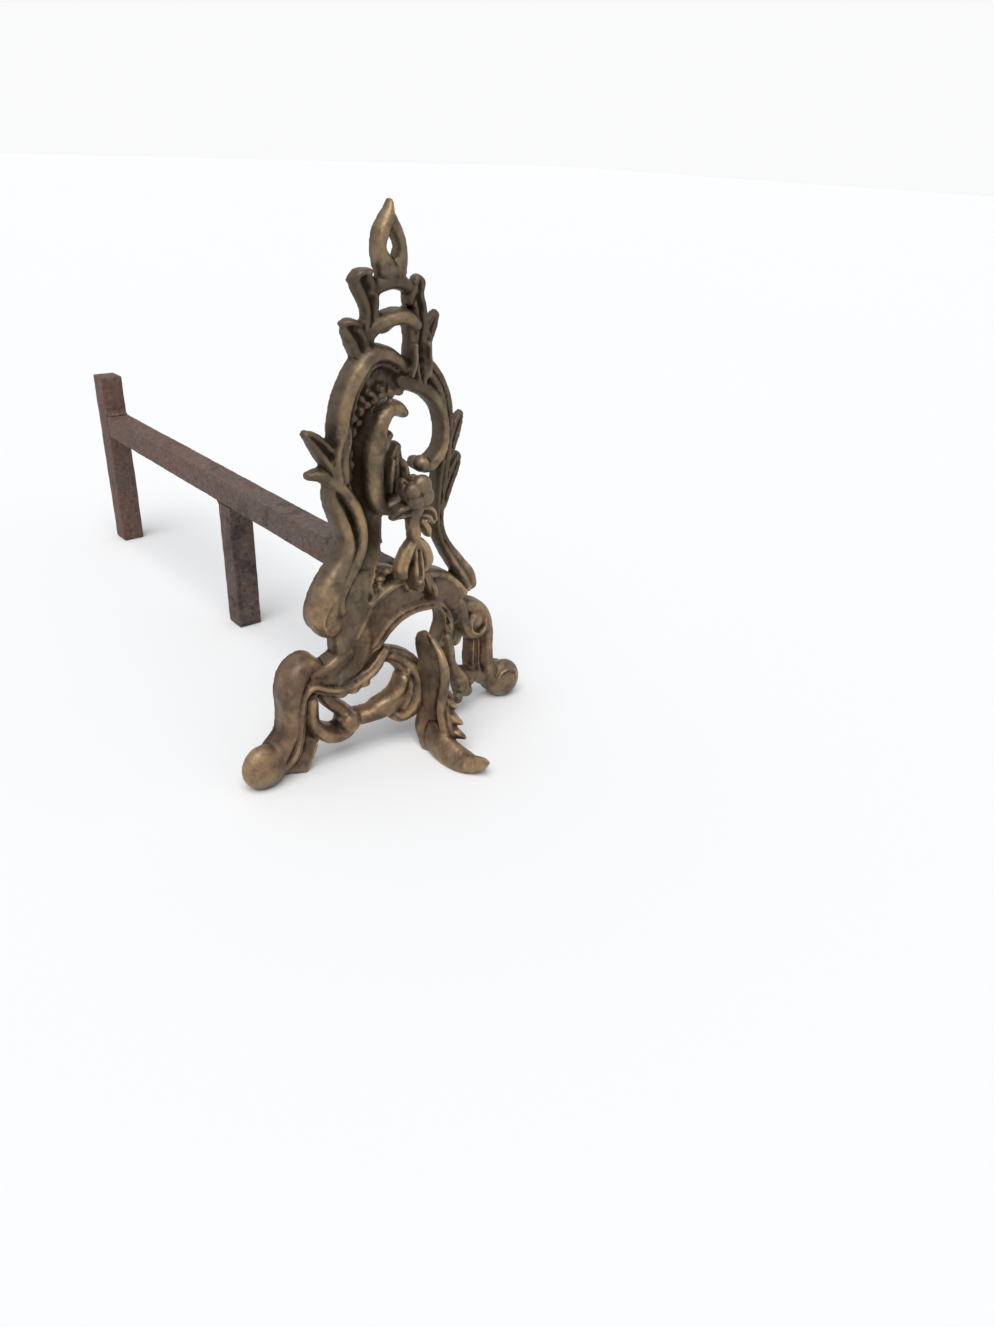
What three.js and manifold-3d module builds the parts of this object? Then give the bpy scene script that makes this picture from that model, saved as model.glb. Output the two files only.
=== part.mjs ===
// A fireplace andiron: an openwork scrolled front casting with a leaf-shaped
// front leg and a hanging flower, and a square iron log bar behind it that
// stands on a short leg and on a rear post.
//
// Millimetres. X runs to the right seen from the front, Y runs back along the
// bar, Z is up. While the pieces are made, the origin is on the hearth below the
// bar, in the plane of the casting's flat back. At the end the whole andiron is
// moved so that the origin is the bottom centre of its bounding box.

import * as THREE from 'three';
import { mergeVertices } from 'three/addons/utils/BufferGeometryUtils.js';
import Module from 'manifold-3d';

// ---------------------------------------------------------------- sizes

// Iron
const BAR_SIDE = 20;              // side of the square bar, the leg and the post
const BAR_TOP = 125;              // height of the log rest
const POST_FRONT = 443;           // front face of the rear post, from the casting's back
const POST_TOP = 160;             // top of the rear post, the log stop
const MID_LEG_FRONT = 201;        // front face of the short leg
const ARRIS = 1.4;                // rounded edges of the iron
const WELD_LEG = 5;               // leg of the fillet welds
const WELD_LENGTH = 18;           // length of each weld across the bar

// Fits
const SEAT_GAP = 0.3;             // air between pieces that touch

// Bar lug on the casting and its bolts
const LUG_THICKNESS = 8;          // plate under the bar
const LUG_LENGTH = 36;            // how far the lug reaches behind the casting
const LUG_WIDTH = 19;
const LUG_ROOT = 3;               // how deep the lug is rooted in the casting
const BOLT_DIAMETER = 6;
const BOLT_CLEARANCE = 0.4;       // radial, between a screw and its hole
const BOLT_HEAD_WIDTH = 10;       // across flats
const BOLT_HEAD_HEIGHT = 4;
const BOLT_GRIP = 12;             // thread length inside the bar
const WASHER_DIAMETER = 12;
const WASHER_THICKNESS = 1.2;
const BOLT_EDGE = 11;             // each bolt's distance from its end of the lug
const BOLT_PLACES = [BOLT_EDGE, LUG_LENGTH - BOLT_EDGE];

// Front leg, its slot in the casting and its two screws from behind
const LEG_X = 11.5;               // middle of the leg and of its slot
const LEG_ROOT_WIDTH = 9;         // width of the leg where it sits in the slot
const LEG_PAD_BACK = 13;          // back of the pad that carries the leg
const LEG_PAD_THICKNESS = 10;
const LEG_PAD_BOTTOM = 20;
const LEG_PAD_TOP = 56;
const LEG_PAD_WIDTH = 22;
const LEG_SCREW_DIAMETER = 5;
const LEG_SCREW_HEAD = 9;
const LEG_SCREW_HEAD_HEIGHT = 3;
const LEG_SCREW_GRIP = 9;         // thread length inside the front leg
const LEG_SCREW_HEIGHTS = [29, 47];

// Flower and its two rivets from behind
const DROP_X = 8;
const DROP_SEAT = 16;             // front of the arm and of the arch that carry the flower
const RIVET_DIAMETER = 3;
const RIVET_CLEARANCE = 0.2;
const RIVET_HEAD = 6;
const RIVET_HEAD_HEIGHT = 1.8;
const RIVET_RECESS = 2.7;         // depth of the recess that hides a rivet head
const RIVET_GRIP = 5;             // shank inside the flower
const RIVET_HEIGHTS = [112, 172];

// Front casting
const FRONT_WIDTH = 227.2;        // over the two side feet
const FRONT_HEIGHT = 339.1;       // hearth to the tip of the flame
const DRAWN_WIDTH = 227.2;        // width and height at which the tables below are drawn
const DRAWN_HEIGHT = 339.1;
const SIDE_RELIEF = 14;           // front-to-back depth of the main bands

const BEYOND = 300;               // a cut's open sides lie this far out

// ---------------------------------------------------------------- solids

const wasm = await Module();
wasm.setup();

function toSolid(geometry) {
  const bare = geometry.index ? geometry.toNonIndexed() : geometry.clone();
  bare.deleteAttribute('normal');
  bare.deleteAttribute('uv');
  const merged = mergeVertices(bare, 1e-4);
  const mesh = new wasm.Mesh({
    numProp: 3,
    vertProperties: new Float32Array(merged.attributes.position.array),
    triVerts: new Uint32Array(merged.index.array),
  });
  return new wasm.Manifold(mesh);
}

function toGeometry(solid) {
  const mesh = solid.getMesh();
  const geometry = new THREE.BufferGeometry();
  const places = new Float32Array(mesh.vertProperties);
  geometry.setAttribute('position', new THREE.BufferAttribute(places, 3));
  geometry.setIndex(new THREE.BufferAttribute(new Uint32Array(mesh.triVerts), 1));
  return geometry;
}

function union(solids) {
  return solids.reduce((all, one) => all.add(one));
}

function placed(geometry, x, y, z) {
  return geometry.translate(x, y, z);
}

// Closed skin over a stack of rings of equal point count, with a point at each end.
function skin(rings, startPoint, endPoint) {
  const count = rings[0].length;
  const vertices = [...rings.flat(), startPoint, endPoint];
  const startIndex = rings.length * count;
  const endIndex = startIndex + 1;
  const index = [];
  for (let r = 0; r + 1 < rings.length; r += 1) {
    for (let i = 0; i < count; i += 1) {
      const j = (i + 1) % count;
      const a = r * count + i;
      const b = r * count + j;
      const c = a + count;
      const d = b + count;
      index.push(a, b, d, a, d, c);
    }
  }
  const last = (rings.length - 1) * count;
  for (let i = 0; i < count; i += 1) {
    const j = (i + 1) % count;
    index.push(startIndex, j, i);
    index.push(endIndex, last + i, last + j);
  }
  const geometry = new THREE.BufferGeometry();
  const flat = new Float32Array(vertices.flatMap((p) => [p.x, p.y, p.z]));
  geometry.setAttribute('position', new THREE.BufferAttribute(flat, 3));
  geometry.setIndex(index);
  return outward(geometry);
}

// Six times the signed volume tells whether the faces point out.
function outward(geometry) {
  const p = geometry.attributes.position;
  const index = geometry.index.array;
  const a = new THREE.Vector3();
  const b = new THREE.Vector3();
  const c = new THREE.Vector3();
  let volume = 0;
  for (let i = 0; i < index.length; i += 3) {
    a.fromBufferAttribute(p, index[i]);
    b.fromBufferAttribute(p, index[i + 1]);
    c.fromBufferAttribute(p, index[i + 2]);
    volume += a.dot(b.cross(c));
  }
  if (volume < 0) geometry.setIndex(Array.from(index).reverse());
  return geometry;
}

// Sections of the cast members: across from -1 to 1, forward from 0 at the flat back to 1.
const SECTIONS = {
  roll: [[-1, 0], [-1, 0.45], [-0.72, 0.85], [-0.25, 1], [0.25, 1], [0.72, 0.85], [1, 0.45], [1, 0]],
  leaf: [[-1, 0], [-1, 0.4], [-0.45, 0.72], [0, 1], [0.45, 0.72], [1, 0.4], [1, 0]],
  web: [[-1, 0], [-1, 0.8], [-0.5, 0.9], [0.5, 0.9], [1, 0.8], [1, 0]],
};

// A cast member follows a curve in the casting's plane. Each of its points is
// [x, z, half width, depth, distance of its flat back in front of the casting's back].
// Its ends are rounded.
function member(points, section = 'roll', { stepsPerSpan = 2 } = {}) {
  const places = points.map(([x, z, , , f = 0]) => new THREE.Vector3(x, -f, z));
  const path = new THREE.CatmullRomCurve3(places);
  const spans = points.map(([, , w, h]) => new THREE.Vector3(w, h ?? SIDE_RELIEF, 0));
  const sizes = new THREE.CatmullRomCurve3(spans);
  const outline = SECTIONS[section];
  const steps = stepsPerSpan * (points.length - 1);
  const ringAt = (t, reach, narrow) => {
    const centre = path.getPoint(t);
    const along = path.getTangent(t).setY(0).normalize();
    const across = new THREE.Vector3(-along.z, 0, along.x);
    const size = sizes.getPoint(t);
    const shift = along.clone().multiplyScalar(reach * size.x);
    const flatten = 0.35 + 0.65 * narrow;
    return outline.map(([a, b]) => centre.clone().add(shift)
      .addScaledVector(across, a * size.x * narrow)
      .add(new THREE.Vector3(0, -b * size.y * flatten, 0)));
  };
  const tipAt = (t, reach) => {
    const size = sizes.getPoint(t);
    const along = path.getTangent(t).setY(0).normalize();
    const tip = path.getPoint(t).addScaledVector(along, reach * size.x);
    tip.y -= 0.15 * size.y;
    return tip;
  };
  const shoulder = Math.PI / 3;
  const rings = [ringAt(0, -Math.sin(shoulder), Math.cos(shoulder))];
  for (let i = 0; i <= steps; i += 1) rings.push(ringAt(i / steps, 0, 1));
  rings.push(ringAt(1, Math.sin(shoulder), Math.cos(shoulder)));
  return toSolid(skin(rings, tipAt(0, -1), tipAt(1, 1)));
}

// Places and half widths of the drawn tables at the casting's real width and height.
const wide = (x) => (x * FRONT_WIDTH) / DRAWN_WIDTH;
const high = (z) => (z * FRONT_HEIGHT) / DRAWN_HEIGHT;
const girth = (wide(1) + high(1)) / 2;

function drawn(points) {
  return points.map(([x, z, halfWidth, ...rest]) => [wide(x), high(z), halfWidth * girth, ...rest]);
}

function ball(x, y, z, rx, ry, rz) {
  const geometry = new THREE.SphereGeometry(1, 10, 7);
  geometry.scale(rx, ry, rz);
  return toSolid(placed(geometry, x, y, z));
}

function block(x0, x1, y0, y1, z0, z1) {
  const geometry = new THREE.BoxGeometry(x1 - x0, y1 - y0, z1 - z0);
  return toSolid(placed(geometry, (x0 + x1) / 2, (y0 + y1) / 2, (z0 + z1) / 2));
}

// Round rod between two points on a line parallel to Y or Z.
function rodY(x, z, y0, y1, radius, sides = 16) {
  const geometry = new THREE.CylinderGeometry(radius, radius, y1 - y0, sides);
  return toSolid(placed(geometry, x, (y0 + y1) / 2, z));
}

function rodZ(x, y, z0, z1, radius, sides = 16) {
  const geometry = new THREE.CylinderGeometry(radius, radius, z1 - z0, sides).rotateX(Math.PI / 2);
  return toSolid(placed(geometry, x, y, (z0 + z1) / 2));
}

// ---------------------------------------------------------------- front casting

// [x, z, half width, depth] of every scroll, band and leaf, drawn from the front.
const SCROLLS = {
  crown: [['roll',
    [[10, 247, 4, 10], [3, 253, 5.5, 12], [-6, 257, 6.3, 13], [-15, 256, 6.8, 14], [-22, 249.5, 7, 14],
      [-28.5, 240, 7, 14], [-33, 229, 7, 14], [-35.3, 216, 7, 14], [-35.5, 203, 6.5, 14], [-34, 190, 5, 13]]]],
  leftLeaves: [
    ['leaf', [[-57, 218, 1.5, 6], [-52, 214, 4, 10], [-46, 206, 6, 14], [-40, 197, 6, 15], [-36, 186, 5, 14],
      [-32, 174, 4, 13]]],
    ['leaf', [[-31, 220, 1.5, 13], [-35, 213, 4, 15.5], [-38, 203, 4, 16]]],
    ['roll', [[-56, 193, 1.5, 6], [-49, 193, 3.5, 10], [-41, 188, 4.5, 13], [-34, 179, 4.5, 15],
      [-28, 168, 4.5, 15], [-25.5, 157, 4.5, 15], [-26, 146, 4.5, 15], [-31, 135, 5, 15], [-38, 125, 5, 15],
      [-43, 115, 4.5, 15], [-42, 106, 3.5, 14]]],
  ],
  leftScroll: [['roll',
    [[-50, 184, 1.5, 6], [-45.5, 177, 4, 9], [-40, 168, 5, 12], [-36, 158, 5, 13], [-34.5, 148, 5.5, 14],
      [-38, 138, 6.2, 14], [-44.5, 128, 8, 15], [-50, 117, 10, 16], [-52.5, 106, 11, 16], [-49.5, 98, 9.5, 15]]]],
  leftWeb: [['web',
    [[15, 241, 5, 9], [4, 244, 8, 9], [-7, 244, 10, 9], [-17, 238, 10, 9], [-23, 228, 9, 9],
      [-26, 215, 8, 9], [-26, 200, 8, 9], [-24, 186, 8, 9], [-21, 172, 9, 10], [-19, 158, 9, 10],
      [-20, 145, 9, 10],
      [-23, 133, 9, 10], [-28, 120, 11, 10], [-33, 107, 13, 11], [-34, 94, 14, 11], [-31, 81, 14, 11],
      [-33, 69, 12, 11], [-42, 60, 8, 12]]]],
  innerScroll: [
    ['roll', [[9, 222.5, 3.5, 11], [4, 226, 4.5, 13], [-3, 225.5, 5, 14], [-9, 220, 6, 15],
      [-12.5, 211, 6.5, 16], [-14.5, 200, 7, 16], [-15.5, 188, 7, 16], [-14.5, 177, 6.5, 15],
      [-10, 168, 5.5, 13], [-2, 164, 4.5, 12]]],
    ['roll', [[-1, 210, 3, 9], [-6, 206, 4, 12], [-12, 199, 5, 13]]],
    ['roll', [[-6, 166, 4.5, 13], [1, 168, 5, 15], [8, 172, 5.5, DROP_SEAT]]],
    ['leaf', [[2, 174, 5, 12], [2, 184, 8, 13], [2, 194, 7, 13], [5, 202, 3, 9]]],
  ],
  rightBand: [
    ['roll', [[17, 254, 4.5, 11], [27, 247, 5.5, 12], [35, 237, 5.5, 12], [39.5, 226, 5.5, 12],
      [41, 213, 5.5, 12], [40.3, 200, 5.5, 12], [39, 187, 5, 12], [37.5, 173, 4.5, 11], [36.5, 160, 4.3, 11],
      [36.3, 147, 4.2, 11], [39.5, 136, 4.3, 11], [46, 125, 5, 12], [54, 114, 6, 12], [61.5, 103, 7, 12],
      [63.5, 97, 6.5, 12]]],
    ['web', [[13, 238, 7, 9], [22, 235, 7, 9], [30, 228, 6, 10], [36, 219, 4.5, 11]]],
    ['roll', [[38, 210, 4.5, 12], [36, 197, 5, 12], [30, 189, 5, 13], [23, 187, 5, 14], [18.5, 189.5, 4, 14]]],
  ],
  rightLeaves: [
    ['leaf', [[56, 216, 1.2, 7], [52, 211, 4, 9], [47, 203, 4.5, 12], [43, 192, 4, 12]]],
    ['leaf', [[54, 189, 2, 8], [49, 181, 4.5, 10], [43, 170, 4.5, 11], [39, 158, 3.5, 11]]],
  ],
  crest: [
    ['leaf', [[-30.5, 275.5, 2, 6], [-26, 270.5, 6.2, 8], [-21, 262, 7.2, 10], [-16.5, 253, 5, 12]]],
    ['leaf', [[-17, 261, 4, 10], [-14.5, 272, 4.2, 10], [-12, 283, 3.9, 9], [-12, 292, 5.5, 9],
      [-16, 299, 5, 8], [-21.5, 302, 2.5, 6]]],
    ['leaf', [[35, 275.5, 1.5, 6], [31, 272, 4, 8], [26, 265, 4.5, 10], [24, 257, 4, 11]]],
    ['leaf', [[22, 238, 3, 14], [20, 249, 5, 14], [20, 260, 5.5, 12], [21.5, 270, 5.5, 11],
      [21.5, 281, 5.5, 10], [19, 289, 4.5, 9], [22, 296, 3.5, 7]]],
    ['roll', [[-14.5, 267, 3, 9], [-8.5, 273.5, 4.5, 10], [1.5, 277, 4.5, 11], [10.5, 277, 4.5, 11],
      [17.5, 272, 4, 11]]],
    ['roll', [[12.5, 276, 2.5, 9], [15.5, 266, 3, 9], [15.5, 253, 4, 10]]],
    ['roll', [[-11.5, 292, 4, 9], [-0.5, 296, 4.5, 9], [10.5, 295, 4.2, 9], [17.5, 290, 3, 9]]],
  ],
  flame: [
    ['roll', [[1, 300, 4.5, 8], [-4, 307, 3.2, 8], [-6.4, 315.5, 2.4, 7.5], [-5, 323, 2.8, 7.5], [0, 329, 3, 7],
      [3, 334.5, 2.2, 6], [4, 337.5, 1.6, 5]]],
    ['roll', [[4, 300, 5, 9], [8, 307, 3.4, 9], [9, 315, 3, 9], [7.5, 322, 2.8, 9], [4.5, 328, 2.6, 8]]],
  ],
  spandrel: [['web', [[-16, 124, 5, 9], [-6, 120.5, 6.5, 9], [5, 117, 5, 9]]]],
  arch: [
    ['web', [[-22, 81, 11, 14], [-12, 93, 13, 14], [-1, 100, 13.5, 14], [11, 102.5, 13, 14],
      [24, 102, 12.5, 14], [36, 98, 11, 14], [45, 89, 9, 13], [50, 78, 7.5, 13], [51, 67, 6.5, 12],
      [49, 57, 5, 12]]],
    ['roll', [[-21, 105, 3, 15], [-8, 113, 3.2, 16], [7, 116.5, 3.2, 16], [23, 116, 3.2, 16],
      [39, 110.5, 3.2, 15], [50, 101.5, 3.6, 14], [57, 93, 4.2, 13]]],
  ],
  leftBase: [
    ['roll', [[-9, 68, 4, 14], [-18, 58, 5, 15], [-30, 53, 5.5, 15], [-44, 52, 5.5, 16], [-56, 56, 5.5, 16],
      [-66, 61, 5.5, 16], [-73, 56, 5.5, 16], [-76, 44, 5.5, 16], [-78, 30, 6, 16], [-83, 16, 7, 16],
      [-91, 7, 6, 14]]],
    ['web', [[-66, 66, 6, 12], [-56, 65, 8, 12], [-45, 67, 10, 12]]],
    ['roll', [[-60, 73, 3.5, 12], [-68, 76, 7, 16], [-76, 71, 8.5, 18], [-80.5, 60, 7.5, 18], [-81.5, 46, 6, 17],
      [-84, 32, 6, 17], [-92, 20, 8, 17], [-99, 12, 10, 17]]],
    ['web', [[-70, 50, 8, 12], [-69, 35, 8, 12], [-72, 20, 10, 14], [-79, 8, 13, 15]]],
    ['roll', [[-65.5, 48, 4.5, 13], [-66.5, 36, 4.5, 14], [-61, 25, 5.5, 15], [-51, 18, 6, 16],
      [-41, 19, 6, 16], [-37, 27, 4.5, 15]]],
    ['roll', [[-57, 54, 4, 11], [-52, 44, 4, 11], [-46, 37, 4, 12], [-39, 30, 4.5, 13]]],
    ['web', [[-40, 25, 4.7, 12, 1], [-29, 25.5, 4.7, 12, 4], [-18, 28, 4.7, 12, 8], [-9, 30, 5.2, 12, 11]]],
    ['roll', [[-10, 65, 4.5, 12, 1], [-2, 63, 5.5, 13, 5], [5, 57, 7, 14, 10], [8, 49, 7.2, 15, 13],
      [7.5, 39, 7.8, 15, 14], [3, 28.5, 8, 15, 14], [-5, 23, 6, 14, 12], [-10, 27, 4, 13, 10]]],
  ],
  rightBase: [
    ['roll', [[41, 64, 4, 12, 4], [41, 56, 4.5, 12, 7], [41, 46, 4.5, 12, 9], [46, 36, 5.5, 12, 9],
      [53, 26, 6.5, 12, 8], [54, 18, 5, 11, 8]]],
    ['web', [[22, 38, 14, 10, 12], [32, 38, 12, 10, 11], [42, 38, 8, 10, 8]]],
    ['roll', [[50, 33, 4, 10, 6], [63, 27, 4.5, 11, 3], [78, 20, 6, 12]]],
    ['roll', [[56, 82, 5, 13], [57, 72, 6, 14], [62, 62, 6, 15], [70, 59, 5.5, 15], [76, 64, 5, 14],
      [73, 70, 4, 13]]],
    ['roll', [[72, 56, 4.5, 12], [73, 44, 5, 12], [74, 32, 5, 12], [78, 22, 6, 12], [84, 14, 6, 12]]],
    ['roll', [[58, 81, 4, 11], [65, 79, 6.5, 13], [74, 72, 7, 14], [79, 60, 6, 14], [80, 46, 5.5, 14],
      [81, 32, 6, 14], [85, 19, 8, 15], [92, 11, 10, 15]]],
  ],
};

// Rounded bosses: [x, z, half width, front-to-back half depth, half height, distance in front]
const BOSSES = [
  [-102.5, 13.6, 15, 10, 15.5, 9.5],
  [96, 13, 14.5, 10.5, 14.7, 10],
  [-39, 25, 6, 7, 6, 12],
  [18.5, 190, 6, 7, 6, 11],
  [69, 67, 5, 6, 5, 10],
];

// What carries the flower, seen from the front
const dropX = wide(DROP_X);
const rivetHeights = RIVET_HEIGHTS.map(high);
const seatBottom = high(100);
const seatTop = high(215);
const seatHalfWidth = wide(16);

const lugTop = BAR_TOP - BAR_SIDE - SEAT_GAP;
const lugBottom = lugTop - LUG_THICKNESS;
const legSeat = LEG_PAD_BACK + LEG_PAD_THICKNESS;

function frontCasting() {
  const members = Object.values(SCROLLS).flat()
    .map(([section, points]) => member(drawn(points), section));
  const bosses = BOSSES.map(([x, z, rx, ry, rz, front]) => (
    ball(wide(x), -front, high(z), rx * girth, ry, rz * girth)));
  const lug = block(-LUG_WIDTH / 2, LUG_WIDTH / 2, -LUG_ROOT, LUG_LENGTH, lugBottom, lugTop);
  const legPad = block(LEG_X - LEG_PAD_WIDTH / 2, LEG_X + LEG_PAD_WIDTH / 2, -legSeat, -LEG_PAD_BACK,
    LEG_PAD_BOTTOM, LEG_PAD_TOP);
  const drophold = rodY(dropX, rivetHeights[0], -DROP_SEAT, -1, RIVET_HEAD / 2 + 1);
  let casting = union([...members, ...bosses, lug, legPad, drophold]);
  const boltHole = BOLT_DIAMETER / 2 + BOLT_CLEARANCE;
  for (const y of BOLT_PLACES) {
    casting = casting.subtract(rodZ(0, y, lugBottom - 5, lugTop + 5, boltHole));
  }
  // slot for the root of the front leg
  const slotHalf = LEG_ROOT_WIDTH / 2 + SEAT_GAP;
  casting = casting.subtract(block(LEG_X - slotHalf, LEG_X + slotHalf, -BEYOND, -legSeat, -BEYOND, 90));
  const footHalf = slotHalf + 2;
  casting = casting.subtract(block(LEG_X - footHalf, LEG_X + footHalf, -BEYOND, -legSeat, -BEYOND, 24));
  for (const z of LEG_SCREW_HEIGHTS) {
    const hole = LEG_SCREW_DIAMETER / 2 + BOLT_CLEARANCE;
    casting = casting.subtract(rodY(LEG_X, z, -legSeat - 5, 5, hole));
    casting = casting.subtract(rodY(LEG_X, z, -LEG_PAD_BACK, 5, LEG_SCREW_HEAD / 2 + 1));
  }
  // the flower lies on one plane
  casting = casting.subtract(block(dropX - seatHalfWidth, dropX + seatHalfWidth, -BEYOND, -DROP_SEAT,
    seatBottom, seatTop));
  const rivetHole = RIVET_DIAMETER / 2 + RIVET_CLEARANCE;
  for (const z of rivetHeights) {
    casting = casting.subtract(rodY(dropX, z, -DROP_SEAT - 5, 5, rivetHole));
    casting = casting.subtract(rodY(dropX, z, -RIVET_RECESS, 5, RIVET_HEAD / 2 + BOLT_CLEARANCE));
  }
  // everything below the hearth is cut away, so the feet stand flat
  casting = casting.subtract(block(-BEYOND, BEYOND, -BEYOND, BEYOND, -BEYOND, 0));
  return casting;
}

// ---------------------------------------------------------------- front leg

// Level cuts through the leg from the top down: [z, back, front, left half width,
// right half width], back and front as distances in front of the casting's back.
const LEG_CUTS = [
  [83, 25, 31, 1.6, 1.6], [81, 21.5, 36, 2.4, 2.4], [78, 20, 40.5, 2.8, 2.8], [74.5, 19, 44.5, 3, 3],
  [70, 20, 48, 3.2, 3.2], [66, 22, 50, 3.5, 3.5], [62, 24, 51, 4, 4],
  [57, 23.3, 51.5, 4.5, 4.5], [50, 23.3, 51, 4.5, 4.5], [43, 23.3, 49, 4.5, 4.5], [34, 23.3, 48, 4.5, 4.5],
  [26, 23.3, 49, 4.5, 5], [20, 23.3, 51, 5, 5.5], [14, 25, 55, 7.5, 6], [8, 29, 60, 8.5, 6.5],
  [3, 33, 63, 9, 7], [0, 36, 64, 9, 7],
];
const LEG_BEAD = 2.2;             // half width of the bead along the front edge

// Upright cuts through the toe from the leg forward: [distance, left, right, bottom, top],
// left and right from the leg's middle
const TOE_CUTS = [
  [40, -7.5, 5.5, 0, 10], [48, -9, 6.5, 0, 14], [57, -9.5, 7.5, 0, 12], [67, -8.5, 8.5, 0, 9.5],
  [75, -6.5, 8.5, 0.5, 9], [81, -2.5, 8.5, 2, 10], [86, 1, 7.5, 5, 12],
];
const TOE_TIP = [4.5, 91, 12.5];  // [from the leg's middle, distance, z]

// Notched leaves on the right of the leg: [from its middle, z, half width, depth, distance of the back]
const LEG_LEAVES = [
  [[2.5, 40, 3.2, 8, 41], [5, 36, 3.5, 7, 43.5], [8, 33, 1.8, 4, 47]],
  [[3, 30, 3.6, 8, 42], [5.5, 26, 4.2, 8, 46], [9, 23, 2, 5, 52]],
  [[3, 19, 3.6, 8, 45], [5.5, 16, 4, 9, 49], [9.5, 13, 2, 6, 54]],
];

function legBody() {
  const point = (x, front, z) => new THREE.Vector3(x, -front, z);
  const ring = ([z, back, front, left, right]) => {
    const middle = back + 0.45 * (front - back);
    const slim = Math.min(3, left, right);
    return [
      point(LEG_X - left, back, z),
      point(LEG_X - slim, middle, z),
      point(LEG_X - 0.75 * LEG_BEAD, front - 2.2 * LEG_BEAD, z),
      point(LEG_X - LEG_BEAD, front - LEG_BEAD, z),
      point(LEG_X - 0.5 * LEG_BEAD, front, z),
      point(LEG_X + 0.5 * LEG_BEAD, front, z),
      point(LEG_X + LEG_BEAD, front - LEG_BEAD, z),
      point(LEG_X + 0.75 * LEG_BEAD, front - 2.2 * LEG_BEAD, z),
      point(LEG_X + slim, middle, z),
      point(LEG_X + right, back, z),
    ];
  };
  const top = LEG_CUTS[0];
  const bottom = LEG_CUTS[LEG_CUTS.length - 1];
  return toSolid(skin(LEG_CUTS.map(ring), point(LEG_X, (top[1] + top[2]) / 2, top[0] + 0.6),
    point(LEG_X, (bottom[1] + bottom[2]) / 2, bottom[0])));
}

function toe() {
  const rings = TOE_CUTS.map(([front, left, right, bottom, top]) => {
    const across = (share, z) => new THREE.Vector3(LEG_X + left + share * (right - left), -front, z);
    const low = bottom + 0.3 * (top - bottom);
    const high = bottom + 0.75 * (top - bottom);
    return [across(0.06, bottom), across(0, low), across(0.22, high), across(0.5, top), across(0.8, high),
      across(1, low), across(0.94, bottom)];
  });
  const [front, left, right, bottom, top] = TOE_CUTS[0];
  const start = new THREE.Vector3(LEG_X + (left + right) / 2, -front, (bottom + top) / 2);
  const end = new THREE.Vector3(LEG_X + TOE_TIP[0], -TOE_TIP[1], TOE_TIP[2]);
  return toSolid(skin(rings, start, end));
}

function frontLeg() {
  const leaves = LEG_LEAVES.map((points) => (
    member(points.map(([x, ...rest]) => [LEG_X + x, ...rest]), 'leaf')));
  let leg = union([legBody(), toe(), ...leaves]);
  const holeEnd = -legSeat - SEAT_GAP - LEG_SCREW_GRIP - 1;
  for (const z of LEG_SCREW_HEIGHTS) {
    leg = leg.subtract(rodY(LEG_X, z, holeEnd, 0, LEG_SCREW_DIAMETER / 2 + 0.1));
  }
  return leg;
}

// ---------------------------------------------------------------- flower

// Stem, petals and leaves of the hanging flower: [x, z, half width, depth, distance of the back]
const FLOWER_PARTS = [
  ['roll', [[8, 183, 4.5, 9], [8, 170, 6, 10], [7, 160, 4.5, 8], [7.5, 151, 4.5, 8], [8, 142, 4, 8]]],
  ['leaf', [[7, 146, 3, 8], [1, 137, 5, 9], [-2, 130, 5, 9], [-1, 124, 3, 8]]],
  ['leaf', [[9, 146, 3, 8], [14, 139, 5, 8], [16.5, 131, 5.5, 8], [15, 125, 3, 7]]],
  ['leaf', [[8, 144, 3.5, 9], [8, 133, 5, 11], [8, 122, 5.5, 12], [8, 115, 3.5, 11]]],
  ['leaf', [[5, 166, 4, 7], [-2, 166, 4.5, 8], [-8, 163, 2, 6]]],
  ['leaf', [[11, 164, 4, 7], [18, 162, 4.5, 8], [23, 156, 3, 6]]],
  ['leaf', [[6, 170, 4, 7], [2, 178, 4.5, 8], [0, 184, 2.5, 6]]],
];
const BLOSSOM_LOBES = 5;
const BLOSSOM_RADIUS = 6.2;       // circle of the lobes' centres
const BLOSSOM_LOBE = 4.6;         // radius of a lobe
const BLOSSOM_Z = 177;

function flowerDrop() {
  const back = DROP_SEAT + SEAT_GAP;
  const parts = FLOWER_PARTS.map(([section, points]) => (
    member(drawn(points).map((sizes) => [...sizes, back]), section)));
  const lobes = [];
  const blossomZ = high(BLOSSOM_Z);
  for (let i = 0; i < BLOSSOM_LOBES; i += 1) {
    const turn = Math.PI / 2 + (i * 2 * Math.PI) / BLOSSOM_LOBES;
    const x = dropX + BLOSSOM_RADIUS * Math.cos(turn);
    const z = blossomZ + BLOSSOM_RADIUS * Math.sin(turn);
    lobes.push(ball(x, -back - 7, z, BLOSSOM_LOBE, 5, BLOSSOM_LOBE));
  }
  const eye = ball(dropX, -back - 8.5, blossomZ, 4.5, 5, 4.5);
  let drop = union([...parts, ...lobes, eye]);
  // flat back against the casting
  drop = drop.subtract(block(-BEYOND, BEYOND, -back, BEYOND, -BEYOND, 2 * BEYOND));
  for (const z of rivetHeights) {
    drop = drop.subtract(rodY(dropX, z, -back - RIVET_GRIP - 0.5, 0, RIVET_DIAMETER / 2 + 0.1));
  }
  return drop;
}

// ---------------------------------------------------------------- iron

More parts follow.
